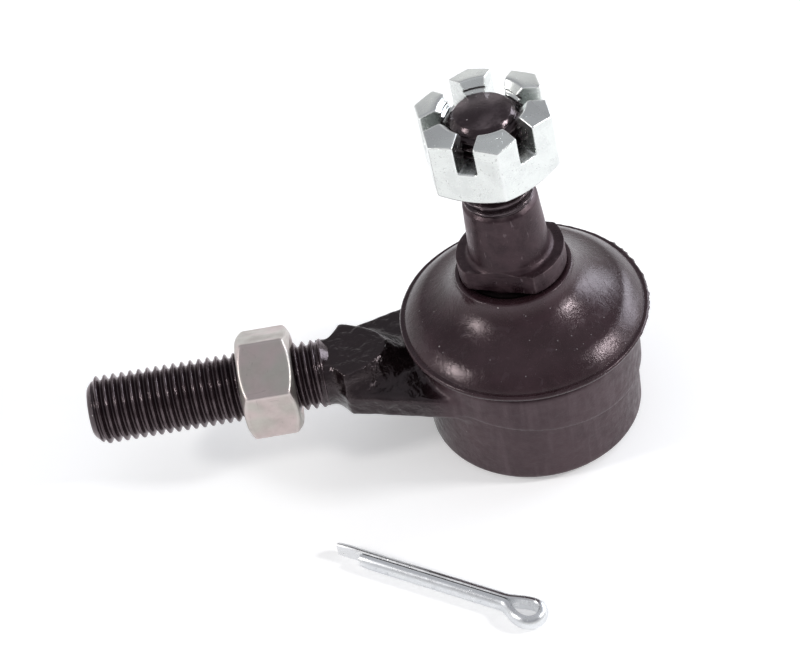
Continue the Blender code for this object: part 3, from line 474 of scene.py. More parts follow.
def housing_field(x, y, z):
    """Cup, tilted band, arm, boss and shank neck joined with fillets, hollowed out."""
    radius = np.hypot(x, y)
    cup = outline_distance(radius, z, CUP_OUTLINE)
    edge_plane = (BAND_EDGE_Z + BAND_EDGE_SLOPE * x - z) / math.hypot(1.0, BAND_EDGE_SLOPE)
    band = shared(radius - BAND_RADIUS, z - SHOULDER_Z, 0.6 * MM)
    band = shared(band, edge_plane, 0.5 * MM)
    solid = joined(cup, band, BAND_FILLET)
    shank = outline_distance(np.hypot(y, z - BALL.z), -x, SHANK_OUTLINE)
    arm = joined(arm_field(x, y, z), shank, ARM_FILLET)
    solid = joined(solid, arm, CUP_FILLET) + forge_wobble(x, y, z)
    groove = np.maximum(cup, SHOULDER_Z - z)
    solid = np.where(z > SHOULDER_Z + SHOULDER_ROUND, np.maximum(solid, groove), solid)
    return shared(solid, -outline_distance(radius, z, HOLLOW_OUTLINE), 0.15 * MM)


def make_housing():
    """The forged housing, and the thread on its shank."""
    low = (-SHANK_NECK_AT - 2.0 * MM, -BAND_RADIUS - MM, -MM)
    high = (BAND_RADIUS + MM, BAND_RADIUS + MM, COLLAR_TOP + MM)
    body = field_mesh("forged_housing", housing_field, low, high, HOUSING_STEP)
    put(body, Matrix.Identity(4), "housing", "black_forging", black_forging(), "housing")
    start = SHANK_NECK_AT - THREAD_INTO_NECK
    outline = [(start, 4.0 * MM), (start + 0.9 * MM, 4.7 * MM), (start + 1.2 * MM, THREAD_RADIUS),
               (SHANK_END - 1.35 * MM, THREAD_RADIUS), (SHANK_END - 0.25 * MM, 3.85 * MM),
               (SHANK_END, 3.5 * MM)]
    thread = threaded_bar("shank_thread", outline, THREAD_RADIUS, start + 2.4 * MM, 1.6 * MM)
    put(thread, shank_matrix(), "housing", "black_forging", thread_steel())


# ---------------------------------------------------------------- ball stud

BALL_RADIUS = 9.0 * MM
STUD_END = 42.0 * MM
TAPER_TOP = 27.0 * MM
TAPER_TOP_RADIUS = 5.20 * MM
TAPER_RADIUS = 5.67 * MM
FLANGE_TOP = 17.6 * MM
FLANGE_BOTTOM = 14.6 * MM
FLANGE_RADIUS = 7.6 * MM
FLANGE_FLATS = 11.5 * MM
FLANGE_FLATS_AZIMUTH = math.radians(67.0)
BOOT_SEAT_RADIUS = 5.6 * MM
STUD_NECK_RADIUS = 4.3 * MM
COTTER_HOLE_HEIGHT = 39.8 * MM
COTTER_HOLE_RADIUS = 1.4 * MM
COTTER_HOLE_REACH = 8.0 * MM
BALL_FLAT_RADIUS = 2.5 * MM
BALL_FLAT_HEIGHT = -math.sqrt(BALL_RADIUS ** 2 - BALL_FLAT_RADIUS ** 2)
BALL_STEPS = 40
CASTLE_CORNER = math.radians(-85.0)


def stud_outline():
    """The stud below its thread: taper, flange, boot seat, neck and ball."""
    ball_top = math.acos(STUD_NECK_RADIUS / BALL_RADIUS) - 0.03
    ball_end = -math.acos(BALL_FLAT_RADIUS / BALL_RADIUS)
    angles = [ball_top + (ball_end - ball_top) * i / BALL_STEPS for i in range(BALL_STEPS + 1)]
    ball = [(BALL_RADIUS * math.cos(a), BALL_RADIUS * math.sin(a)) for a in angles]
    return rounded([
        (TAPER_TOP_RADIUS - 0.5 * MM, TAPER_TOP + 0.15 * MM, 0.0),
        (TAPER_TOP_RADIUS, TAPER_TOP - 0.35 * MM, 0.2 * MM),
        (TAPER_RADIUS, FLANGE_TOP + 0.5 * MM, 0.35 * MM),
        (TAPER_RADIUS + 0.5 * MM, FLANGE_TOP, 0.25 * MM),
        (FLANGE_RADIUS, FLANGE_TOP, 0.16 * MM), (FLANGE_RADIUS, FLANGE_BOTTOM, 0.25 * MM),
        (BOOT_SEAT_RADIUS, FLANGE_BOTTOM, 0.15 * MM), (BOOT_SEAT_RADIUS, 11.8 * MM, 0.4 * MM),
        (STUD_NECK_RADIUS, 10.5 * MM, 0.4 * MM),
        (STUD_NECK_RADIUS, ball[0][1] + 0.5 * MM, 0.3 * MM)]) + ball


def with_flats(wide, heights, angles):
    """Cut the flange's radius down to its two wrench flats."""
    across = np.maximum(np.abs(np.cos(angles - FLANGE_FLATS_AZIMUTH)), 0.05)
    flat = 0.5 * FLANGE_FLATS / across
    near_flange = (heights > FLANGE_BOTTOM - 0.1 * MM) & (heights < FLANGE_TOP + 0.7 * MM)
    return np.where(near_flange, np.minimum(wide, flat), wide)


def make_stud():
    """The ball stud: one turned piece, and its thread as a second, cross-drilled piece on the same
    body.
    """
    low = TAPER_TOP - 0.4 * MM
    outline = [(low, 4.6 * MM), (TAPER_TOP + 0.1 * MM, 4.6 * MM), (TAPER_TOP + 0.5 * MM, THREAD_RADIUS),
               (STUD_END - 1.25 * MM, THREAD_RADIUS), (STUD_END - 0.12 * MM, 3.98 * MM),
               (STUD_END, 3.84 * MM)]
    thread = threaded_bar("stud_thread", outline, THREAD_RADIUS, TAPER_TOP + 1.0 * MM, 0.8 * MM)
    reach = COTTER_HOLE_REACH
    hole = turned("hole", [(0.0, reach), (COTTER_HOLE_RADIUS, reach),
                           (COTTER_HOLE_RADIUS, -reach), (0.0, -reach)], 40)
    turn = Matrix.Rotation(CASTLE_CORNER + math.radians(90.0), 4, 'Z')
    turn = turn @ Matrix.Rotation(math.radians(90.0), 4, 'Y')
    hole.data.transform(Matrix.Translation((0.0, 0.0, COTTER_HOLE_HEIGHT)) @ turn)
    cut(thread, 'DIFFERENCE', hole)
    smooth(thread, 50.0)
    put(thread, stud_matrix(), "stud", "stud_phosphate", thread_steel())
    stud = turned("stud_body", [(0.0, TAPER_TOP + 0.15 * MM)] + stud_outline()
                  + [(0.0, BALL_FLAT_HEIGHT)], 2 * SEGMENTS, shape=with_flats)
    smooth(stud, 45.0)
    put(stud, stud_matrix(), "stud", "stud_phosphate", stud_steel(), "ball_stud")


# ---------------------------------------------------------------- nuts

NUT_BORE = 5.05 * MM
NUT_THREAD_DEPTH = 0.5 * MM
CASTLE_TOP = 42.9 * MM
CASTLE_BOTTOM = 32.9 * MM
CASTLE_FLATS = 16.8 * MM
SLOT_WIDTH = 2.8 * MM
SLOT_DEPTH = 5.0 * MM
SLOT_ROUND = 0.5 * MM
CASTLE_TOP_FACE = 6.25 * MM
CASTLE_TOP_SLOPE = 0.27
CASTLE_BASE_FACE = 8.1 * MM
CASTLE_EDGE = 0.22 * MM
NUT_FACE_SLOPE = 0.58
NUT_MOUTH_CHAMFER = 1.1 * MM
JAM_FLATS = 14.1 * MM
JAM_FACE = 6.49 * MM
JAM_EDGE = 0.3 * MM
JAM_OUTER_END = -JAM_LOW.x
JAM_INNER_END = -JAM_HIGH.x


def nut_field(flats, bottom, top, top_face, top_slope, base_face, corner, edge, slotted):
    """A hexagon nut: chamfered at both ends, threaded, and slotted if asked."""
    normals = [corner + math.radians(30.0 + 60.0 * number) for number in range(3)]

    def field(x, y, z):
        radius = np.hypot(x, y)
        solid = shared(z - top, bottom - z, edge)
        for normal in normals:
            side = np.abs(x * math.cos(normal) + y * math.sin(normal)) - 0.5 * flats
            solid = shared(solid, side, edge)
        high_cone = (z - top + top_slope * (radius - top_face)) / math.hypot(1.0, top_slope)
        low_cone = bottom - z + NUT_FACE_SLOPE * (radius - base_face)
        low_cone = low_cone / math.hypot(1.0, NUT_FACE_SLOPE)
        solid = shared(solid, np.maximum(high_cone, low_cone), edge)
        ridge = thread_height(z / THREAD_PITCH - np.arctan2(y, x) / (2.0 * math.pi))
        bore = NUT_BORE + NUT_THREAD_DEPTH * (1.0 - ridge)
        mouth = np.maximum(z - top, bottom - z) + NUT_BORE + NUT_MOUTH_CHAMFER
        solid = shared(solid, np.maximum(bore, mouth) - radius, 0.6 * edge)
        for normal in normals if slotted else []:
            across = np.abs(y * math.cos(normal) - x * math.sin(normal)) - 0.5 * SLOT_WIDTH
            slot = shared(across, top - SLOT_DEPTH - z, SLOT_ROUND)
            solid = shared(solid, -slot, edge)
        return solid

    return field


def make_nut(name, flats, bottom, top, *rest):
    """The mesh of one nut, about +Z; the rest are nut_field's other values."""
    reach = flats / math.sqrt(3.0) + 0.5 * MM
    return field_mesh(name, nut_field(flats, bottom, top, *rest),
                      (-reach, -reach, bottom - 0.5 * MM), (reach, reach, top + 0.5 * MM), NUT_STEP)


def make_nuts():
    """The castle nut on the stud and the jam nut on the shank."""
    castle = make_nut("castle_nut_fine", CASTLE_FLATS, CASTLE_BOTTOM, CASTLE_TOP, CASTLE_TOP_FACE,
                      CASTLE_TOP_SLOPE, CASTLE_BASE_FACE, CASTLE_CORNER, CASTLE_EDGE, True)
    put(castle, stud_matrix(), "castle_nut", "bright_zinc", plated("bright_zinc"),
        "castle_nut")
    jam = make_nut("jam_nut_fine", JAM_FLATS, JAM_INNER_END, JAM_OUTER_END, JAM_FACE,
                   NUT_FACE_SLOPE, JAM_FACE, 0.0, JAM_EDGE, False)
    put(jam, shank_matrix(), "jam_nut", "dull_zinc", dull_zinc(), "jam_nut")


# ---------------------------------------------------------------- dust boot and its rings

BOOT_RIM_RADIUS = 17.7 * MM
BOOT_NECK_OUTER = 8.3 * MM
BOOT_NECK_INNER = 6.9 * MM
BOOT_BEAD_RADIUS = 14.25 * MM
BOOT_RIM_WALL = 2.7 * MM
BOOT_LIP_HEIGHT = 0.35 * MM
BOOT_FLARE_HANDLE = (0.09 * MM, 2.04 * MM)
BOOT_DOME_INSET = 3.5 * MM
BOOT_DOME_HEIGHT = 3.02 * MM
BOOT_DOME_HANDLE = (2.78 * MM, 0.97 * MM)
BOOT_DOME_AHEAD = (1.11 * MM, 0.39 * MM)
BOOT_SHOULDER_DROP = 0.2 * MM
BOOT_NECK_TOP = BALL.z + 14.3 * MM
BOOT_NECK_BOTTOM = BALL.z + 12.15 * MM
BOOT_FLOOR_TOP = GROOVE_TOP_Z + 1.5 * MM
BOOT_SEAM_Z = 23.4 * MM
BOOT_STILL_Z = COLLAR_TOP
BOOT_FOLLOWS_Z = BALL.z + 11.85 * MM


def boot_outline():
    """The boot's section: neck lip, flare, shoulder, crease and rim, bead, inside."""
    rim = BOOT_RIM_RADIUS
    under = GROOVE_TOP_Z
    inner = rim - BOOT_RIM_WALL
    lip = Vector((BOOT_NECK_OUTER, BOOT_NECK_TOP - BOOT_LIP_HEIGHT))
    dome = Vector((rim - BOOT_DOME_INSET, under + BOOT_DOME_HEIGHT))
    shoulder_end = Vector((rim - 0.78 * MM, under + 0.66 * MM))
    flare = curve_between(lip, (lip.x + BOOT_FLARE_HANDLE[0], lip.y - BOOT_FLARE_HANDLE[1]),
                          (dome.x - BOOT_DOME_HANDLE[0], dome.y + BOOT_DOME_HANDLE[1]), dome, 36)
    shoulder = curve_between(dome, (dome.x + BOOT_DOME_AHEAD[0], dome.y - BOOT_DOME_AHEAD[1]),
                             (shoulder_end.x, shoulder_end.y + BOOT_SHOULDER_DROP),
                             shoulder_end, 20)
    neck = rounded([(BOOT_NECK_INNER, BOOT_NECK_TOP, 0.0), (BOOT_NECK_OUTER, BOOT_NECK_TOP, 0.3 * MM),
                    (*flare[1], 0.0)], 5)[:-1]
    edge = rounded([(*shoulder[-2], 0.0), (*shoulder_end, 0.10 * MM),
                    (rim - 0.70 * MM, under + 0.54 * MM, 0.05 * MM),
                    (rim - 0.22 * MM, under + 0.58 * MM, 0.14 * MM),
                    (rim, under + 0.28 * MM, 0.14 * MM), (rim - 0.1 * MM, under - 0.1 * MM, 0.12 * MM),
                    (rim - 1.0 * MM, under, 0.3 * MM),
                    (BOOT_BEAD_RADIUS, under, 0.2 * MM), (BOOT_BEAD_RADIUS, SHOULDER_Z + GAP, 0.3 * MM),
                    (GROOVE_RADIUS + GAP, SHOULDER_Z + GAP, 0.2 * MM),
                    (GROOVE_RADIUS + GAP, under - GAP, 0.2 * MM),
                    (COLLAR_RADIUS + GAP, under - GAP, 0.2 * MM),
                    (COLLAR_RADIUS + GAP, BOOT_FLOOR_TOP, 0.2 * MM),
                    (inner, BOOT_FLOOR_TOP, 0.0)], 4)[1:]
    inside = curve_between((inner, BOOT_FLOOR_TOP), (inner - 2.1 * MM, BOOT_FLOOR_TOP + 1.7 * MM),
                           (BOOT_NECK_INNER + 1.9 * MM, BOOT_FLOOR_TOP + 1.6 * MM),
                           (BOOT_NECK_INNER + 0.4 * MM, BOOT_NECK_BOTTOM), 30)[1:]
    return (neck + flare[2:] + shoulder[1:-1] + edge + inside
            + [(BOOT_NECK_INNER, BOOT_NECK_BOTTOM)])


def rim_flash(wide, heights, angles):
    """Ragged mould flash along the rim, and a slight unevenness of the rubber."""
    on_rim = np.exp(-((heights - GROOVE_TOP_Z - 0.25 * MM) / (0.30 * MM)) ** 2)
    on_rim = on_rim * np.clip((wide - 16.9 * MM) / (0.6 * MM), 0.0, 1.0)
    teeth = np.abs(np.sin(23.0 * angles) * np.sin(37.0 * angles + 1.0)
                   + 0.7 * np.sin(61.0 * angles + 2.0) * np.sin(9.0 * angles))
    ragged = 0.10 + 0.90 * np.clip(np.cos(angles - math.radians(25.0)), 0.0, 1.0) ** 3
    uneven = 0.03 * MM * np.sin(5.0 * angles + 0.4) + 0.02 * MM * np.sin(11.0 * angles)
    outside = np.clip((wide - 12.0 * MM) / (3.0 * MM), 0.0, 1.0)
    return wide + 0.22 * MM * on_rim * ragged * teeth + uneven * outside


def lean_boot(mesh):
    """Lean the boot's upper part with the stud, more the higher a point is."""
    centre = Matrix.Translation(BALL)
    for vertex in mesh.vertices:
        share = (vertex.co.z - BOOT_STILL_Z) / (BOOT_FOLLOWS_Z - BOOT_STILL_Z)
        share = eased(min(max(share, 0.0), 1.0))
        swing = Matrix.Rotation(share * REST_TILT_Y, 4, 'Y')
        rock = Matrix.Rotation(share * REST_TILT_X, 4, 'X')
        vertex.co = centre @ swing @ rock @ centre.inverted() @ vertex.co


def half_of(thing, name, keep_above):
    """A copy of the boot that stops at its seam height."""
    half = bpy.data.objects.new(name, thing.data.copy())
    bpy.context.scene.collection.objects.link(half)
    build = bmesh.new()
    build.from_mesh(half.data)
    parts = build.verts[:] + build.edges[:] + build.faces[:]
    bmesh.ops.bisect_plane(build, geom=parts, plane_co=(0.0, 0.0, BOOT_SEAM_Z),
                           plane_no=(0.0, 0.0, 1.0), clear_outer=not keep_above,
                           clear_inner=keep_above)
    build.to_mesh(half.data)
    build.free()
    return half


def make_boot():
    """The rubber boot, in two pieces that meet on one circle."""
    whole = turned("boot_whole", boot_outline(), SEGMENTS * 2, ring=True, shape=rim_flash)
    lean_boot(whole.data)
    whole.data.materials.append(boot_rubber())
    ends = {"dust_boot_skirt": ("housing", "boot_mid", False, BOOT_STILL_Z, BOOT_SEAM_Z),
            "dust_boot_top": ("boot_mid", "boot_neck", True, BOOT_SEAM_Z, BOOT_FOLLOWS_Z)}
    for name, (low_body, high_body, keep_above, start_z, end_z) in ends.items():
        half = half_of(whole, name, keep_above)
        half.data.shade_smooth()
        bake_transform(half)
        if not keep_above:
            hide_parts("dust_boot")
    bpy.data.objects.remove(whole, do_unlink=True)


def make_clamp_ring():
    """The wire ring that holds the boot's bead in its groove."""
    wire = 0.5 * (CLAMP_HIGH.z - CLAMP_LOW.z)
    middle = 0.5 * (CLAMP_HIGH.z + CLAMP_LOW.z)
    ring = CLAMP_HIGH.x - wire
    turn = [2.0 * math.pi * i / WIRE_STEPS for i in range(WIRE_STEPS)]
    profile = [(ring + wire * math.cos(a), middle - wire * math.sin(a)) for a in turn]
    clamp = turned("clamp_wire", profile, SEGMENTS, ring=True)
    put(clamp, Matrix.Identity(4), "housing", "ring_steel", plated("ring_steel"),
        "boot_clamp_ring")


def make_end_cap():
    """The closing plate in the cup's base, with its raised pad."""
    profile = rounded([(0.0, CAP_TOP, 0.0), (CAP_RADIUS, CAP_TOP, 0.2 * MM),
                       (CAP_RADIUS, CAP_BOTTOM, 0.15 * MM), (9.6 * MM, CAP_BOTTOM, 0.5 * MM),
                       (8.5 * MM, 0.0, 0.45 * MM), (1.6 * MM, 0.0, 0.3 * MM),
                       (0.9 * MM, 0.35 * MM, 0.3 * MM), (0.0, 0.35 * MM, 0.0)])
    plate = turned("closing_plate", profile)
    smooth(plate)
    put(plate, Matrix.Identity(4), "housing", "closing_plate", plated("closing_plate"),
        "end_cap")


# ---------------------------------------------------------------- cotter pin

PIN_RADIUS = 1.25 * MM
PIN_GAP = 0.06 * MM
PIN_LONG_LEG = 26.0 * MM
PIN_SHORT_LEG = 22.0 * MM
PIN_AZIMUTH = math.radians(147.2)


def pin_place():
    """Where the legs meet the eye: the CAD pin's box gives it."""
    reach = Vector((math.cos(PIN_AZIMUTH), math.sin(PIN_AZIMUTH), 0.0))
    side = Vector((-reach.y, reach.x, 0.0))
    tip = PIN_LOW.x + PIN_GAP * abs(side.x)
    origin_x = tip - PIN_LONG_LEG * reach.x
    tip_y = PIN_HIGH.y - (PIN_RADIUS + PIN_GAP) * abs(side.y)
    return Vector((origin_x, tip_y - PIN_LONG_LEG * reach.y, PIN_RADIUS))


def pin_path():
    """Inner line of the folded wire: short leg, bulging side of the eye, straight side, long leg."""
    bulge = curve_between((0.0, PIN_GAP), (-1.3 * MM, PIN_GAP), (-2.2 * MM, 1.7 * MM),
                          (-3.9 * MM, 1.75 * MM), 14)
    end = curve_between((-3.9 * MM, 1.75 * MM), (-5.7 * MM, 1.75 * MM), (-5.9 * MM, -0.5 * MM),
                        (-4.3 * MM, -0.75 * MM), 18)
    back = curve_between((-4.3 * MM, -0.75 * MM), (-3.0 * MM, -0.9 * MM), (-1.2 * MM, -PIN_GAP),
                         (0.0, -PIN_GAP), 12)
    legs = [PIN_SHORT_LEG * (1.0 - i / 24) for i in range(24)]
    long_leg = [PIN_LONG_LEG * i / 28 for i in range(1, 29)]
    return ([(x, PIN_GAP) for x in legs] + bulge + end[1:] + back[1:]
            + [(x, -PIN_GAP) for x in long_leg])


def pin_section():
    """The half-round wire with broken corners: (outwards, up) from its inner line."""
    steps = 14
    turn = [math.radians(-82.0 + 164.0 * i / steps) for i in range(steps + 1)]
    arc = [(PIN_RADIUS * math.cos(a), PIN_RADIUS * math.sin(a)) for a in turn]
    return [(0.0, -PIN_RADIUS + 0.18 * MM)] + arc + [(0.0, PIN_RADIUS - 0.18 * MM)]


def make_cotter_pin():
    """The split pin: the half-round wire swept along its folded path."""
    path = np.array(pin_path())
    tangents = np.gradient(path, axis=0)
    tangents /= np.linalg.norm(tangents, axis=1)[:, None]
    outward = np.stack([tangents[:, 1], -tangents[:, 0]], axis=1)
    section = pin_section()
    rows = []
    count = len(path)
    for index in range(count):
        from_end = min(index, count - 1 - index)
        shrink = 1.0 - 0.10 * max(0.0, 1.0 - from_end / 1.5)
        for out, up in section:
            place = path[index] + outward[index] * out * shrink
            rows.append((place[0], place[1], up * shrink))
    around = len(section)
    faces = []
    for index in range(count - 1):
        for corner in range(around):
            following = (corner + 1) % around
            faces.append((index * around + corner, (index + 1) * around + corner,
                          (index + 1) * around + following, index * around + following))
    faces.append(tuple(range(around)))
    faces.append(tuple(reversed(range((count - 1) * around, count * around))))
    pin = mesh_object("cotter_pin_wire", rows, faces)
    build = bmesh.new()
    build.from_mesh(pin.data)
    bmesh.ops.recalc_face_normals(build, faces=build.faces)
    build.to_mesh(pin.data)
    build.free()
    smooth(pin, 40.0)
    put(pin, Matrix.Translation(pin_place()) @ Matrix.Rotation(PIN_AZIMUTH, 4, 'Z'),
        "cotter_pin", "pin_steel", plated("pin_steel"), "cotter_pin")


# ---------------------------------------------------------------- material helpers

def mark_edges(thing):
    """Store how convex the mesh is at each point, from 0 to 1, for worn edges and the threads' painted
    crest highlight.
    """
    mesh = thing.data
    count = len(mesh.vertices)
    points = np.empty(count * 3)
    mesh.vertices.foreach_get("co", points)
    normals = np.empty(count * 3)
    mesh.vertices.foreach_get("normal", normals)
    ends = np.empty(len(mesh.edges) * 2, int)
    mesh.edges.foreach_get("vertices", ends)
    points = points.reshape(-1, 3)
    normals = normals.reshape(-1, 3)
    first, second = ends.reshape(-1, 2).T
    run = points[first] - points[second]
    length = np.maximum(np.linalg.norm(run, axis=1), 1e-9)
    lift = np.zeros(count)
    share = np.zeros(count)
    for here, sign in ((first, 1.0), (second, -1.0)):
        rise = sign * (run * normals[here]).sum(axis=1) / length
        lift += np.bincount(here, weights=rise, minlength=count)
        share += np.bincount(here, minlength=count)
    edge = np.clip(lift / np.maximum(share, 1.0) * 4.0, 0.0, 1.0)
    mesh.attributes.new("edge", 'FLOAT', 'POINT').data.foreach_set("value", edge.astype(np.float32))


class Finish:
    """A Principled material being built, with short calls for its nodes."""

    def __init__(self, name):
        self.made = bpy.data.materials.new(name)
        self.made.use_nodes = True
        self.nodes = self.made.node_tree.nodes
        self.links = self.made.node_tree.links
        self.shader = self.nodes["Principled BSDF"]
        self.place = self.nodes.new("ShaderNodeTexCoord").outputs["Object"]

    def set(self, **values):
        """Constant values on the shader's own sockets."""
        for name, value in values.items():
            self.shader.inputs[name.replace("_", " ")].default_value = value

    def stretched(self, x, y, z):
        """The object's coordinates scaled along each axis."""
        node = self.nodes.new("ShaderNodeVectorMath")
        node.operation = 'MULTIPLY'
        self.links.new(self.place, node.inputs[0])
        node.inputs[1].default_value = (x, y, z)
        return node.outputs[0]

    def noise(self, feature, detail=4.0, roughness=0.55, place=None, distortion=0.0):
        """Noise whose features are about this many metres across."""
        node = self.nodes.new("ShaderNodeTexNoise")
        node.inputs["Scale"].default_value = 1.0 / feature
        node.inputs["Detail"].default_value = detail
        node.inputs["Roughness"].default_value = roughness
        node.inputs["Distortion"].default_value = distortion
        self.links.new(place or self.place, node.inputs["Vector"])
        return node.outputs["Fac"]

    def cells(self, feature, output="Distance", place=None):
        """Voronoi cells whose spacing is about this many metres."""
        node = self.nodes.new("ShaderNodeTexVoronoi")
        node.inputs["Scale"].default_value = 1.0 / feature
        self.links.new(place or self.place, node.inputs["Vector"])
        return node.outputs[output]

    def edge(self):
        """The stored convexity."""
        node = self.nodes.new("ShaderNodeAttribute")
        node.attribute_name = "edge"
        return node.outputs["Fac"]

    def along(self, axis):
        """One of the object's coordinates, in metres."""
        node = self.nodes.new("ShaderNodeSeparateXYZ")
        self.links.new(self.place, node.inputs[0])
        return node.outputs[axis]

    def fit(self, value, low, high, to_low=0.0, to_high=1.0, kind='SMOOTHSTEP'):
        """Map a value's range to another, clamped."""
        node = self.nodes.new("ShaderNodeMapRange")
        node.interpolation_type = kind
        self.links.new(value, node.inputs["Value"])
        node.inputs["From Min"].default_value = low
        node.inputs["From Max"].default_value = high
        node.inputs["To Min"].default_value = to_low
        node.inputs["To Max"].default_value = to_high
        return node.outputs["Result"]

    def maths(self, operation, a, b):
        """A Math node on two values or numbers."""
        node = self.nodes.new("ShaderNodeMath")
        node.operation = operation
        for socket, value in zip(node.inputs, (a, b)):
            if isinstance(value, (int, float)):
                socket.default_value = value
            else:
                self.links.new(value, socket)
        return node.outputs[0]

    def colours(self, share, low, high):
        """A colour between two colours or colour outputs."""
        node = self.nodes.new("ShaderNodeMix")
        node.data_type = 'RGBA'
        self.links.new(share, node.inputs["Factor"])
        for index, value in ((6, low), (7, high)):
            if isinstance(value, tuple):
                node.inputs[index].default_value = (*value, 1.0)
            else:
                self.links.new(value, node.inputs[index])
        return node.outputs[2]

    def over(self, colour, share, amount, tint):
        """A tint laid over a colour where share is high, by at most amount."""
        return self.colours(self.maths('MULTIPLY', share, amount), colour, tint)

    def specks(self, feature, size, kept):
        """Rare small round spots: 1 on a spot, 0 elsewhere."""
        near = self.fit(self.cells(feature), size, 0.6 * size)
        pick = self.nodes.new("ShaderNodeSeparateColor")
        self.links.new(self.cells(feature, "Color"), pick.inputs[0])
        chosen = self.fit(pick.outputs[0], 1.0 - kept, 1.0 - kept + 0.01)
        return self.maths('MULTIPLY', near, chosen)

    def scratches(self, x, y, z, feature, amount):
        """Thin broken lines along the axis that is scaled down most."""
        lines = self.noise(feature, 2.0, 0.5, self.stretched(x, y, z))
        return self.fit(lines, 1.0 - amount, 1.0 - amount + 0.04)

    def finish(self, colour, roughness, *heights):
        """Link colour and roughness, and stack the bumps (height, size in metres)."""
        if not isinstance(colour, tuple):
            self.links.new(colour, self.shader.inputs["Base Color"])
        self.links.new(roughness, self.shader.inputs["Roughness"])
        normal = None
        for height, size in heights:
            node = self.nodes.new("ShaderNodeBump")
            node.inputs["Strength"].default_value = 1.0
            node.inputs["Distance"].default_value = size
            self.links.new(height, node.inputs["Height"])
            if normal is not None:
                self.links.new(normal, node.inputs["Normal"])
            normal = node.outputs["Normal"]
        self.links.new(normal, self.shader.inputs["Normal"])
        return self.made


# ---------------------------------------------------------------- materials

PURPLE_BLACK = (1.0, 0.84, 0.89, 1.0)


def black_forging():
    """Black-brown paint on the forging: satin on the cup, glossy on the arm and boss."""
    made = Finish("black_forging_fine")
    made.set(Metallic=0.0, IOR=1.5, Specular_IOR_Level=0.52, Specular_Tint=PURPLE_BLACK)
    broad = made.noise(6.0 * MM, 3.0)
    fine = made.noise(0.35 * MM, 5.0, 0.65)
    streaks = made.noise(1.3 * MM, 3.0, 0.6, made.stretched(1.0, 1.0, 0.12))
    arm = made.fit(made.along("X"), -12.0 * MM, -16.5 * MM)
    colour = made.colours(made.fit(broad, 0.35, 0.7), (0.024, 0.009, 0.013), (0.038, 0.018, 0.023))
    colour = made.colours(made.fit(streaks, 0.45, 0.75), colour, (0.048, 0.027, 0.033))
    colour = made.colours(arm, colour, (0.006, 0.003, 0.0035))
    worn = made.maths('MULTIPLY', made.edge(), made.fit(made.noise(1.6 * MM, 4.0), 0.42, 0.62))
    colour = made.over(colour, worn, 0.30, (0.11, 0.09, 0.095))
    colour = made.over(colour, made.specks(2.6 * MM, 0.05, 0.2), 0.5, (0.30, 0.28, 0.28))
    satin = made.fit(made.noise(1.1 * MM, 4.0), 0.3, 0.7, 0.34, 0.50)
    gloss = made.fit(made.noise(0.9 * MM, 3.0), 0.3, 0.7, 0.07, 0.16)
    roughness = made.maths('ADD', made.maths('MULTIPLY', satin, made.maths('SUBTRACT', 1.0, arm)),
                           made.maths('MULTIPLY', gloss, arm))
    lumps = made.maths('MULTIPLY', made.noise(1.7 * MM, 3.0, 0.5, None, 0.6),
                       made.fit(made.along("X"), -12.0 * MM, -16.5 * MM, 0.25, 1.0))
    return made.finish(colour, roughness, (lumps, 0.30 * MM), (fine, 0.035 * MM),
                       (streaks, 0.05 * MM))


def thread_steel():
    """Blackened threads: dark grooves, crests painted lighter, partly rubbing wear and partly painted
    highlight.
    """
    made = Finish("black_thread")
    made.set(Metallic=0.35, Specular_IOR_Level=0.9, Specular_Tint=PURPLE_BLACK)
    fine = made.noise(0.3 * MM, 4.0, 0.6)
    patches = made.noise(2.4 * MM, 4.0)
    colour = made.colours(patches, (0.008, 0.004, 0.005), (0.020, 0.011, 0.014))
    # Lighter crests: partly rubbing wear, partly a painted highlight for the glints along the crests.
    crest_wear_and_highlight = made.maths('MULTIPLY', made.edge(), made.fit(patches, 0.36, 0.66))
    colour = made.over(colour, crest_wear_and_highlight, 0.75, (0.17, 0.14, 0.15))
    colour = made.colours(made.specks(1.9 * MM, 0.07, 0.25), colour, (0.40, 0.38, 0.38))
    roughness = made.fit(fine, 0.3, 0.7, 0.13, 0.24)
    return made.finish(colour, roughness, (fine, 0.02 * MM), (patches, 0.05 * MM))


def stud_steel():
    """Phosphated stud: purple-black satin, scuffed on the taper, rubbed flange edges."""
    made = Finish("stud_phosphate_fine")
    made.set(Metallic=0.35, Specular_Tint=PURPLE_BLACK)
    patches = made.noise(2.2 * MM, 5.0, 0.6)
    fine = made.noise(0.25 * MM, 4.0, 0.6)
    rings = made.noise(0.22 * MM, 2.0, 0.5, made.stretched(0.06, 0.06, 1.0))
    colour = made.colours(made.fit(patches, 0.35, 0.7), (0.018, 0.008, 0.011), (0.040, 0.022, 0.027))
    scuffs = made.scratches(1.0, 1.0, 0.25, 0.45 * MM, 0.33)
    colour = made.over(colour, scuffs, 0.5, (0.13, 0.10, 0.11))
    worn = made.maths('MULTIPLY', made.edge(), made.fit(patches, 0.38, 0.60))
    colour = made.over(colour, worn, 0.7, (0.15, 0.115, 0.12))
    colour = made.colours(made.specks(1.5 * MM, 0.065, 0.40), colour, (0.40, 0.37, 0.37))
    roughness = made.fit(patches, 0.3, 0.7, 0.26, 0.44)
    return made.finish(colour, roughness, (fine, 0.03 * MM), (rings, 0.03 * MM))


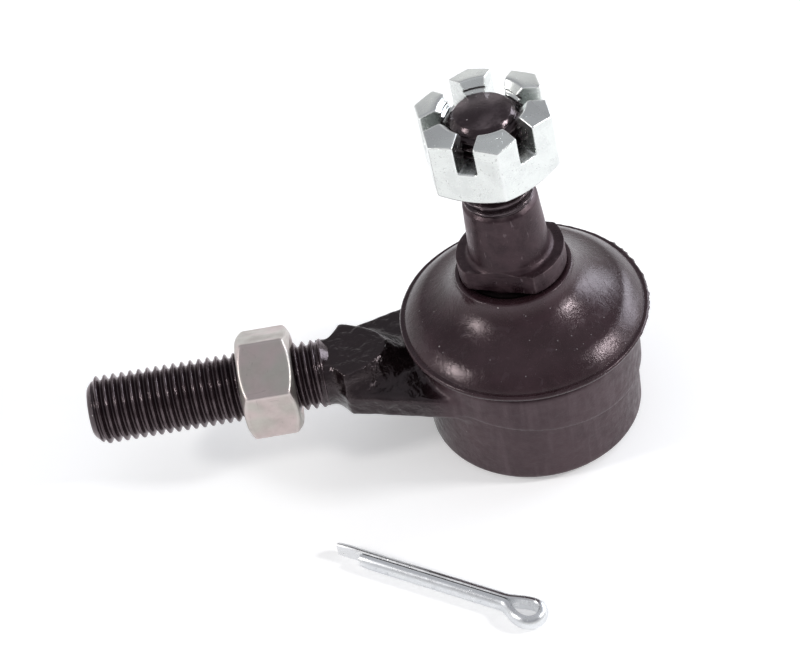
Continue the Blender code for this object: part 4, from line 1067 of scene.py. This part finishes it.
def boot_rubber():
    """Moulded rubber: satin black, with dust, small pits and rubbed patches."""
    made = Finish("boot_rubber_fine")
    made.set(Metallic=0.0, IOR=1.52, Specular_Tint=PURPLE_BLACK)
    broad = made.noise(5.0 * MM, 4.0, 0.6)
    fine = made.noise(0.30 * MM, 5.0, 0.65)
    smears = made.noise(1.8 * MM, 4.0, 0.65, None, 1.2)
    colour = made.colours(made.fit(broad, 0.3, 0.7), (0.016, 0.006, 0.008), (0.030, 0.014, 0.018))
    colour = made.colours(made.fit(smears, 0.56, 0.78, 0.0, 0.40), colour, (0.070, 0.052, 0.062))
    dust = made.specks(1.2 * MM, 0.09, 0.40)
    crumbs = made.specks(3.7 * MM, 0.04, 0.5)
    colour = made.over(colour, dust, 0.55, (0.30, 0.28, 0.29))
    colour = made.over(colour, crumbs, 0.8, (0.34, 0.31, 0.31))
    roughness = made.maths('ADD', made.fit(smears, 0.3, 0.7, 0.19, 0.30),
                           made.maths('MULTIPLY', dust, 0.25))
    pits = made.fit(made.cells(0.9 * MM), 0.0, 0.12, 0.0, 1.0)
    return made.finish(colour, roughness, (fine, 0.022 * MM), (pits, 0.02 * MM),
                       (smears, 0.05 * MM))


# light colour, dark colour, most shade, lowest and highest roughness, depth of the grain
PLATINGS = {
    "bright_zinc": ((0.76, 0.785, 0.765), (0.65, 0.67, 0.66), 0.6, 0.20, 0.32, 0.012 * MM),
    "pin_steel": ((0.72, 0.735, 0.75), (0.58, 0.60, 0.64), 0.6, 0.22, 0.34, 0.010 * MM),
    # ring steel: near-black wire; on the boot's neck ring the same finish is painted shade for the
    # crevice under the flange
    "ring_steel": ((0.055, 0.045, 0.047), (0.025, 0.02, 0.021), 0.7, 0.32, 0.46, 0.015 * MM),
    "spring_steel": ((0.36, 0.35, 0.36), (0.20, 0.20, 0.23), 0.7, 0.28, 0.40, 0.012 * MM),
    "closing_plate": ((0.16, 0.15, 0.145), (0.075, 0.07, 0.068), 0.8, 0.38, 0.52, 0.02 * MM),
}


def plated(kind):
    """Plated or bare steel: cloudy tone, fine grain, faint scratches and brighter edges."""
    light, dark, shade_share, rough_low, rough_high, grain = PLATINGS[kind]
    made = Finish(kind + "_fine")
    made.set(Metallic=1.0)
    clouds = made.noise(2.6 * MM, 5.0, 0.6)
    fine = made.noise(0.22 * MM, 4.0, 0.65)
    colour = made.colours(made.fit(clouds, 0.32, 0.70, 0.0, shade_share), light, dark)
    scratches = made.maths('MAXIMUM', made.scratches(1.0, 0.10, 1.0, 0.30 * MM, 0.31),
                           made.scratches(0.12, 1.0, 0.4, 0.34 * MM, 0.30))
    colour = made.over(colour, scratches, 0.30, tuple(0.55 * part for part in dark))
    colour = made.over(colour, made.edge(), 0.5, (0.95, 0.95, 0.95))
    colour = made.over(colour, made.specks(1.6 * MM, 0.06, 0.3), 0.6, (0.10, 0.095, 0.09))
    roughness = made.maths('ADD', made.fit(clouds, 0.3, 0.7, rough_low, rough_high),
                           made.maths('MULTIPLY', scratches, 0.08))
    return made.finish(colour, roughness, (fine, grain), (scratches, -0.02 * MM))


def dull_zinc():
    """Duller zinc of the jam nut, with a pinkish and a greenish cast."""
    made = Finish("dull_zinc_fine")
    made.set(Metallic=1.0)
    clouds = made.noise(3.4 * MM, 5.0, 0.6)
    tint = made.noise(7.0 * MM, 2.0)
    fine = made.noise(0.2 * MM, 4.0, 0.65)
    cast = made.colours(made.fit(tint, 0.42, 0.58), (0.56, 0.475, 0.465), (0.50, 0.485, 0.445))
    colour = made.colours(made.fit(clouds, 0.35, 0.7, 0.0, 0.6), cast, (0.40, 0.355, 0.335))
    scratches = made.maths('MAXIMUM', made.scratches(0.10, 1.0, 1.0, 0.28 * MM, 0.31),
                           made.scratches(1.0, 0.3, 0.12, 0.33 * MM, 0.30))
    colour = made.over(colour, scratches, 0.4, (0.30, 0.27, 0.26))
    colour = made.over(colour, made.edge(), 0.6, (0.92, 0.88, 0.86))
    colour = made.over(colour, made.specks(1.5 * MM, 0.065, 0.3), 0.7, (0.09, 0.08, 0.075))
    roughness = made.fit(clouds, 0.3, 0.7, 0.30, 0.46)
    return made.finish(colour, roughness, (fine, 0.016 * MM), (clouds, 0.05 * MM))


def acetal():
    """Off-white moulded plastic of the ball seats."""
    made = Finish("acetal_fine")
    made.set(Metallic=0.0)
    clouds = made.noise(2.5 * MM, 4.0)
    fine = made.noise(0.25 * MM, 4.0)
    colour = made.colours(clouds, (0.66, 0.65, 0.60), (0.80, 0.79, 0.75))
    roughness = made.fit(fine, 0.3, 0.7, 0.36, 0.50)
    return made.finish(colour, roughness, (fine, 0.015 * MM))


def floor_paper():
    """White paper under the part."""
    made = Finish("white_paper")
    made.set(Metallic=0.0, Emission_Color=(1.0, 1.0, 1.0, 1.0), Emission_Strength=0.32)
    grain = made.noise(0.8 * MM, 4.0)
    colour = made.colours(made.noise(60.0 * MM, 2.0), (0.90, 0.90, 0.90), (0.93, 0.93, 0.93))
    return made.finish(colour, made.fit(grain, 0.3, 0.7, 0.75, 0.9), (grain, 0.01 * MM))


# ---------------------------------------------------------------- stage, light and camera

CAMERA_AT = Vector((-9.85, -252.28, 267.25)) * MM
CAMERA_LOOKS_AT = Vector((-17.8, -1.0, 20.0)) * MM
CAMERA_ROLL = math.radians(-10.85)
CAMERA_LENS_MM = 112.5
CAMERA_SENSOR_MM = 36.0
CAMERA_NEAREST = 0.01

SKY_STOPS = [(0.10, (1.0, 1.0, 1.0)), (0.62, (0.42, 0.42, 0.45)), (0.95, (0.62, 0.63, 0.66))]
SKY_STRENGTH = 0.85
FLOOR_HALF = 1.2
LIGHT_DISTANCE = 0.6
LIGHTS_AIM = Vector((0.0, 0.0, 0.02))

# name, azimuth and height in degrees, width and height in metres, watts, colour
LIGHTS = [("left_box", -170.0, 33.0, 0.08, 0.08, 0.9, (1.0, 0.98, 0.95)),
          ("right_box", -13.0, 35.0, 0.085, 0.085, 1.25, (1.0, 1.0, 1.0)),
          ("right_window", 30.0, 18.0, 0.38, 0.18, 1.45, (0.86, 0.92, 1.0))]


def make_camera():
    """The camera at the picture's viewing angle."""
    data = bpy.data.cameras.new("camera")
    data.sensor_width = CAMERA_SENSOR_MM
    data.lens = CAMERA_LENS_MM
    data.clip_start = CAMERA_NEAREST
    camera = bpy.data.objects.new("camera", data)
    turn = (CAMERA_LOOKS_AT - CAMERA_AT).to_track_quat('-Z', 'Y').to_matrix().to_4x4()
    roll = Matrix.Rotation(CAMERA_ROLL, 4, 'Z')
    camera.matrix_world = Matrix.Translation(CAMERA_AT) @ turn @ roll
    bpy.context.scene.collection.objects.link(camera)
    bpy.context.scene.camera = camera


def soft_box(name, azimuth, height, width, tall, power, colour):
    """A rectangular soft light that shines at the object from a direction in degrees."""
    data = bpy.data.lights.new(name, 'AREA')
    data.shape = 'RECTANGLE'
    data.size = width
    data.size_y = tall
    data.energy = power
    data.color = colour
    light = bpy.data.objects.new(name, data)
    azimuth = math.radians(azimuth)
    height = math.radians(height)
    away = Vector((math.cos(azimuth) * math.cos(height), math.sin(azimuth) * math.cos(height),
                   math.sin(height)))
    turn = (-away).to_track_quat('-Z', 'Y').to_matrix().to_4x4()
    light.matrix_world = Matrix.Translation(LIGHTS_AIM + away * LIGHT_DISTANCE) @ turn
    bpy.context.scene.collection.objects.link(light)


def make_world():
    """A bright room: white low down, greyer above."""
    world = bpy.data.worlds.new("studio")
    world.use_nodes = True
    nodes = world.node_tree.nodes
    links = world.node_tree.links
    split = nodes.new("ShaderNodeSeparateXYZ")
    links.new(nodes.new("ShaderNodeTexCoord").outputs["Generated"], split.inputs[0])
    ramp = nodes.new("ShaderNodeValToRGB")
    ramp.color_ramp.interpolation = 'EASE'
    stops = ramp.color_ramp.elements
    for index, (height, colour) in enumerate(SKY_STOPS):
        stop = stops[index] if index < len(stops) else stops.new(height)
        stop.position = height
        stop.color = (*colour, 1.0)
    links.new(split.outputs["Z"], ramp.inputs["Fac"])
    links.new(ramp.outputs["Color"], nodes["Background"].inputs["Color"])
    nodes["Background"].inputs["Strength"].default_value = SKY_STRENGTH
    bpy.context.scene.world = world


def make_stage():
    """Floor, lights and colour handling."""
    corners = [(x * FLOOR_HALF, y * FLOOR_HALF, 0.0) for x, y in ((-1, -1), (1, -1), (1, 1), (-1, 1))]
    floor = mesh_object("floor", corners, [(0, 1, 2, 3)])
    floor.data.materials.append(floor_paper())
    make_world()
    for light in LIGHTS:
        soft_box(*light)
    bpy.context.scene.view_settings.view_transform = 'Standard'


def finish_cad_pieces():
    """Better materials on the CAD nodes that stay: everything hidden inside; the neck ring is
    near-black as painted shade in the crevice under the flange.
    """
    finishes = {"upper_ball_seat": acetal(), "lower_ball_seat": acetal(),
                "preload_spring": plated("spring_steel"),
                # near-black on the neck ring is painted shade for the crevice under the stud's flange
                "boot_neck_ring": plated("ring_steel")}
    for name, finish in finishes.items():
        for slot in frame["nodes"][name].material_slots:
            slot.material = finish


def main():
    """Make the stage and every piece."""
    make_camera()
    make_stage()
    make_housing()
    make_end_cap()
    make_clamp_ring()
    make_stud()
    make_nuts()
    make_boot()
    make_cotter_pin()
    finish_cad_pieces()
    visible = [thing for thing in bpy.context.scene.objects
               if thing.type == 'MESH' and thing.name not in frame["nodes"]]
    for thing in visible:
        mark_edges(thing)


main()
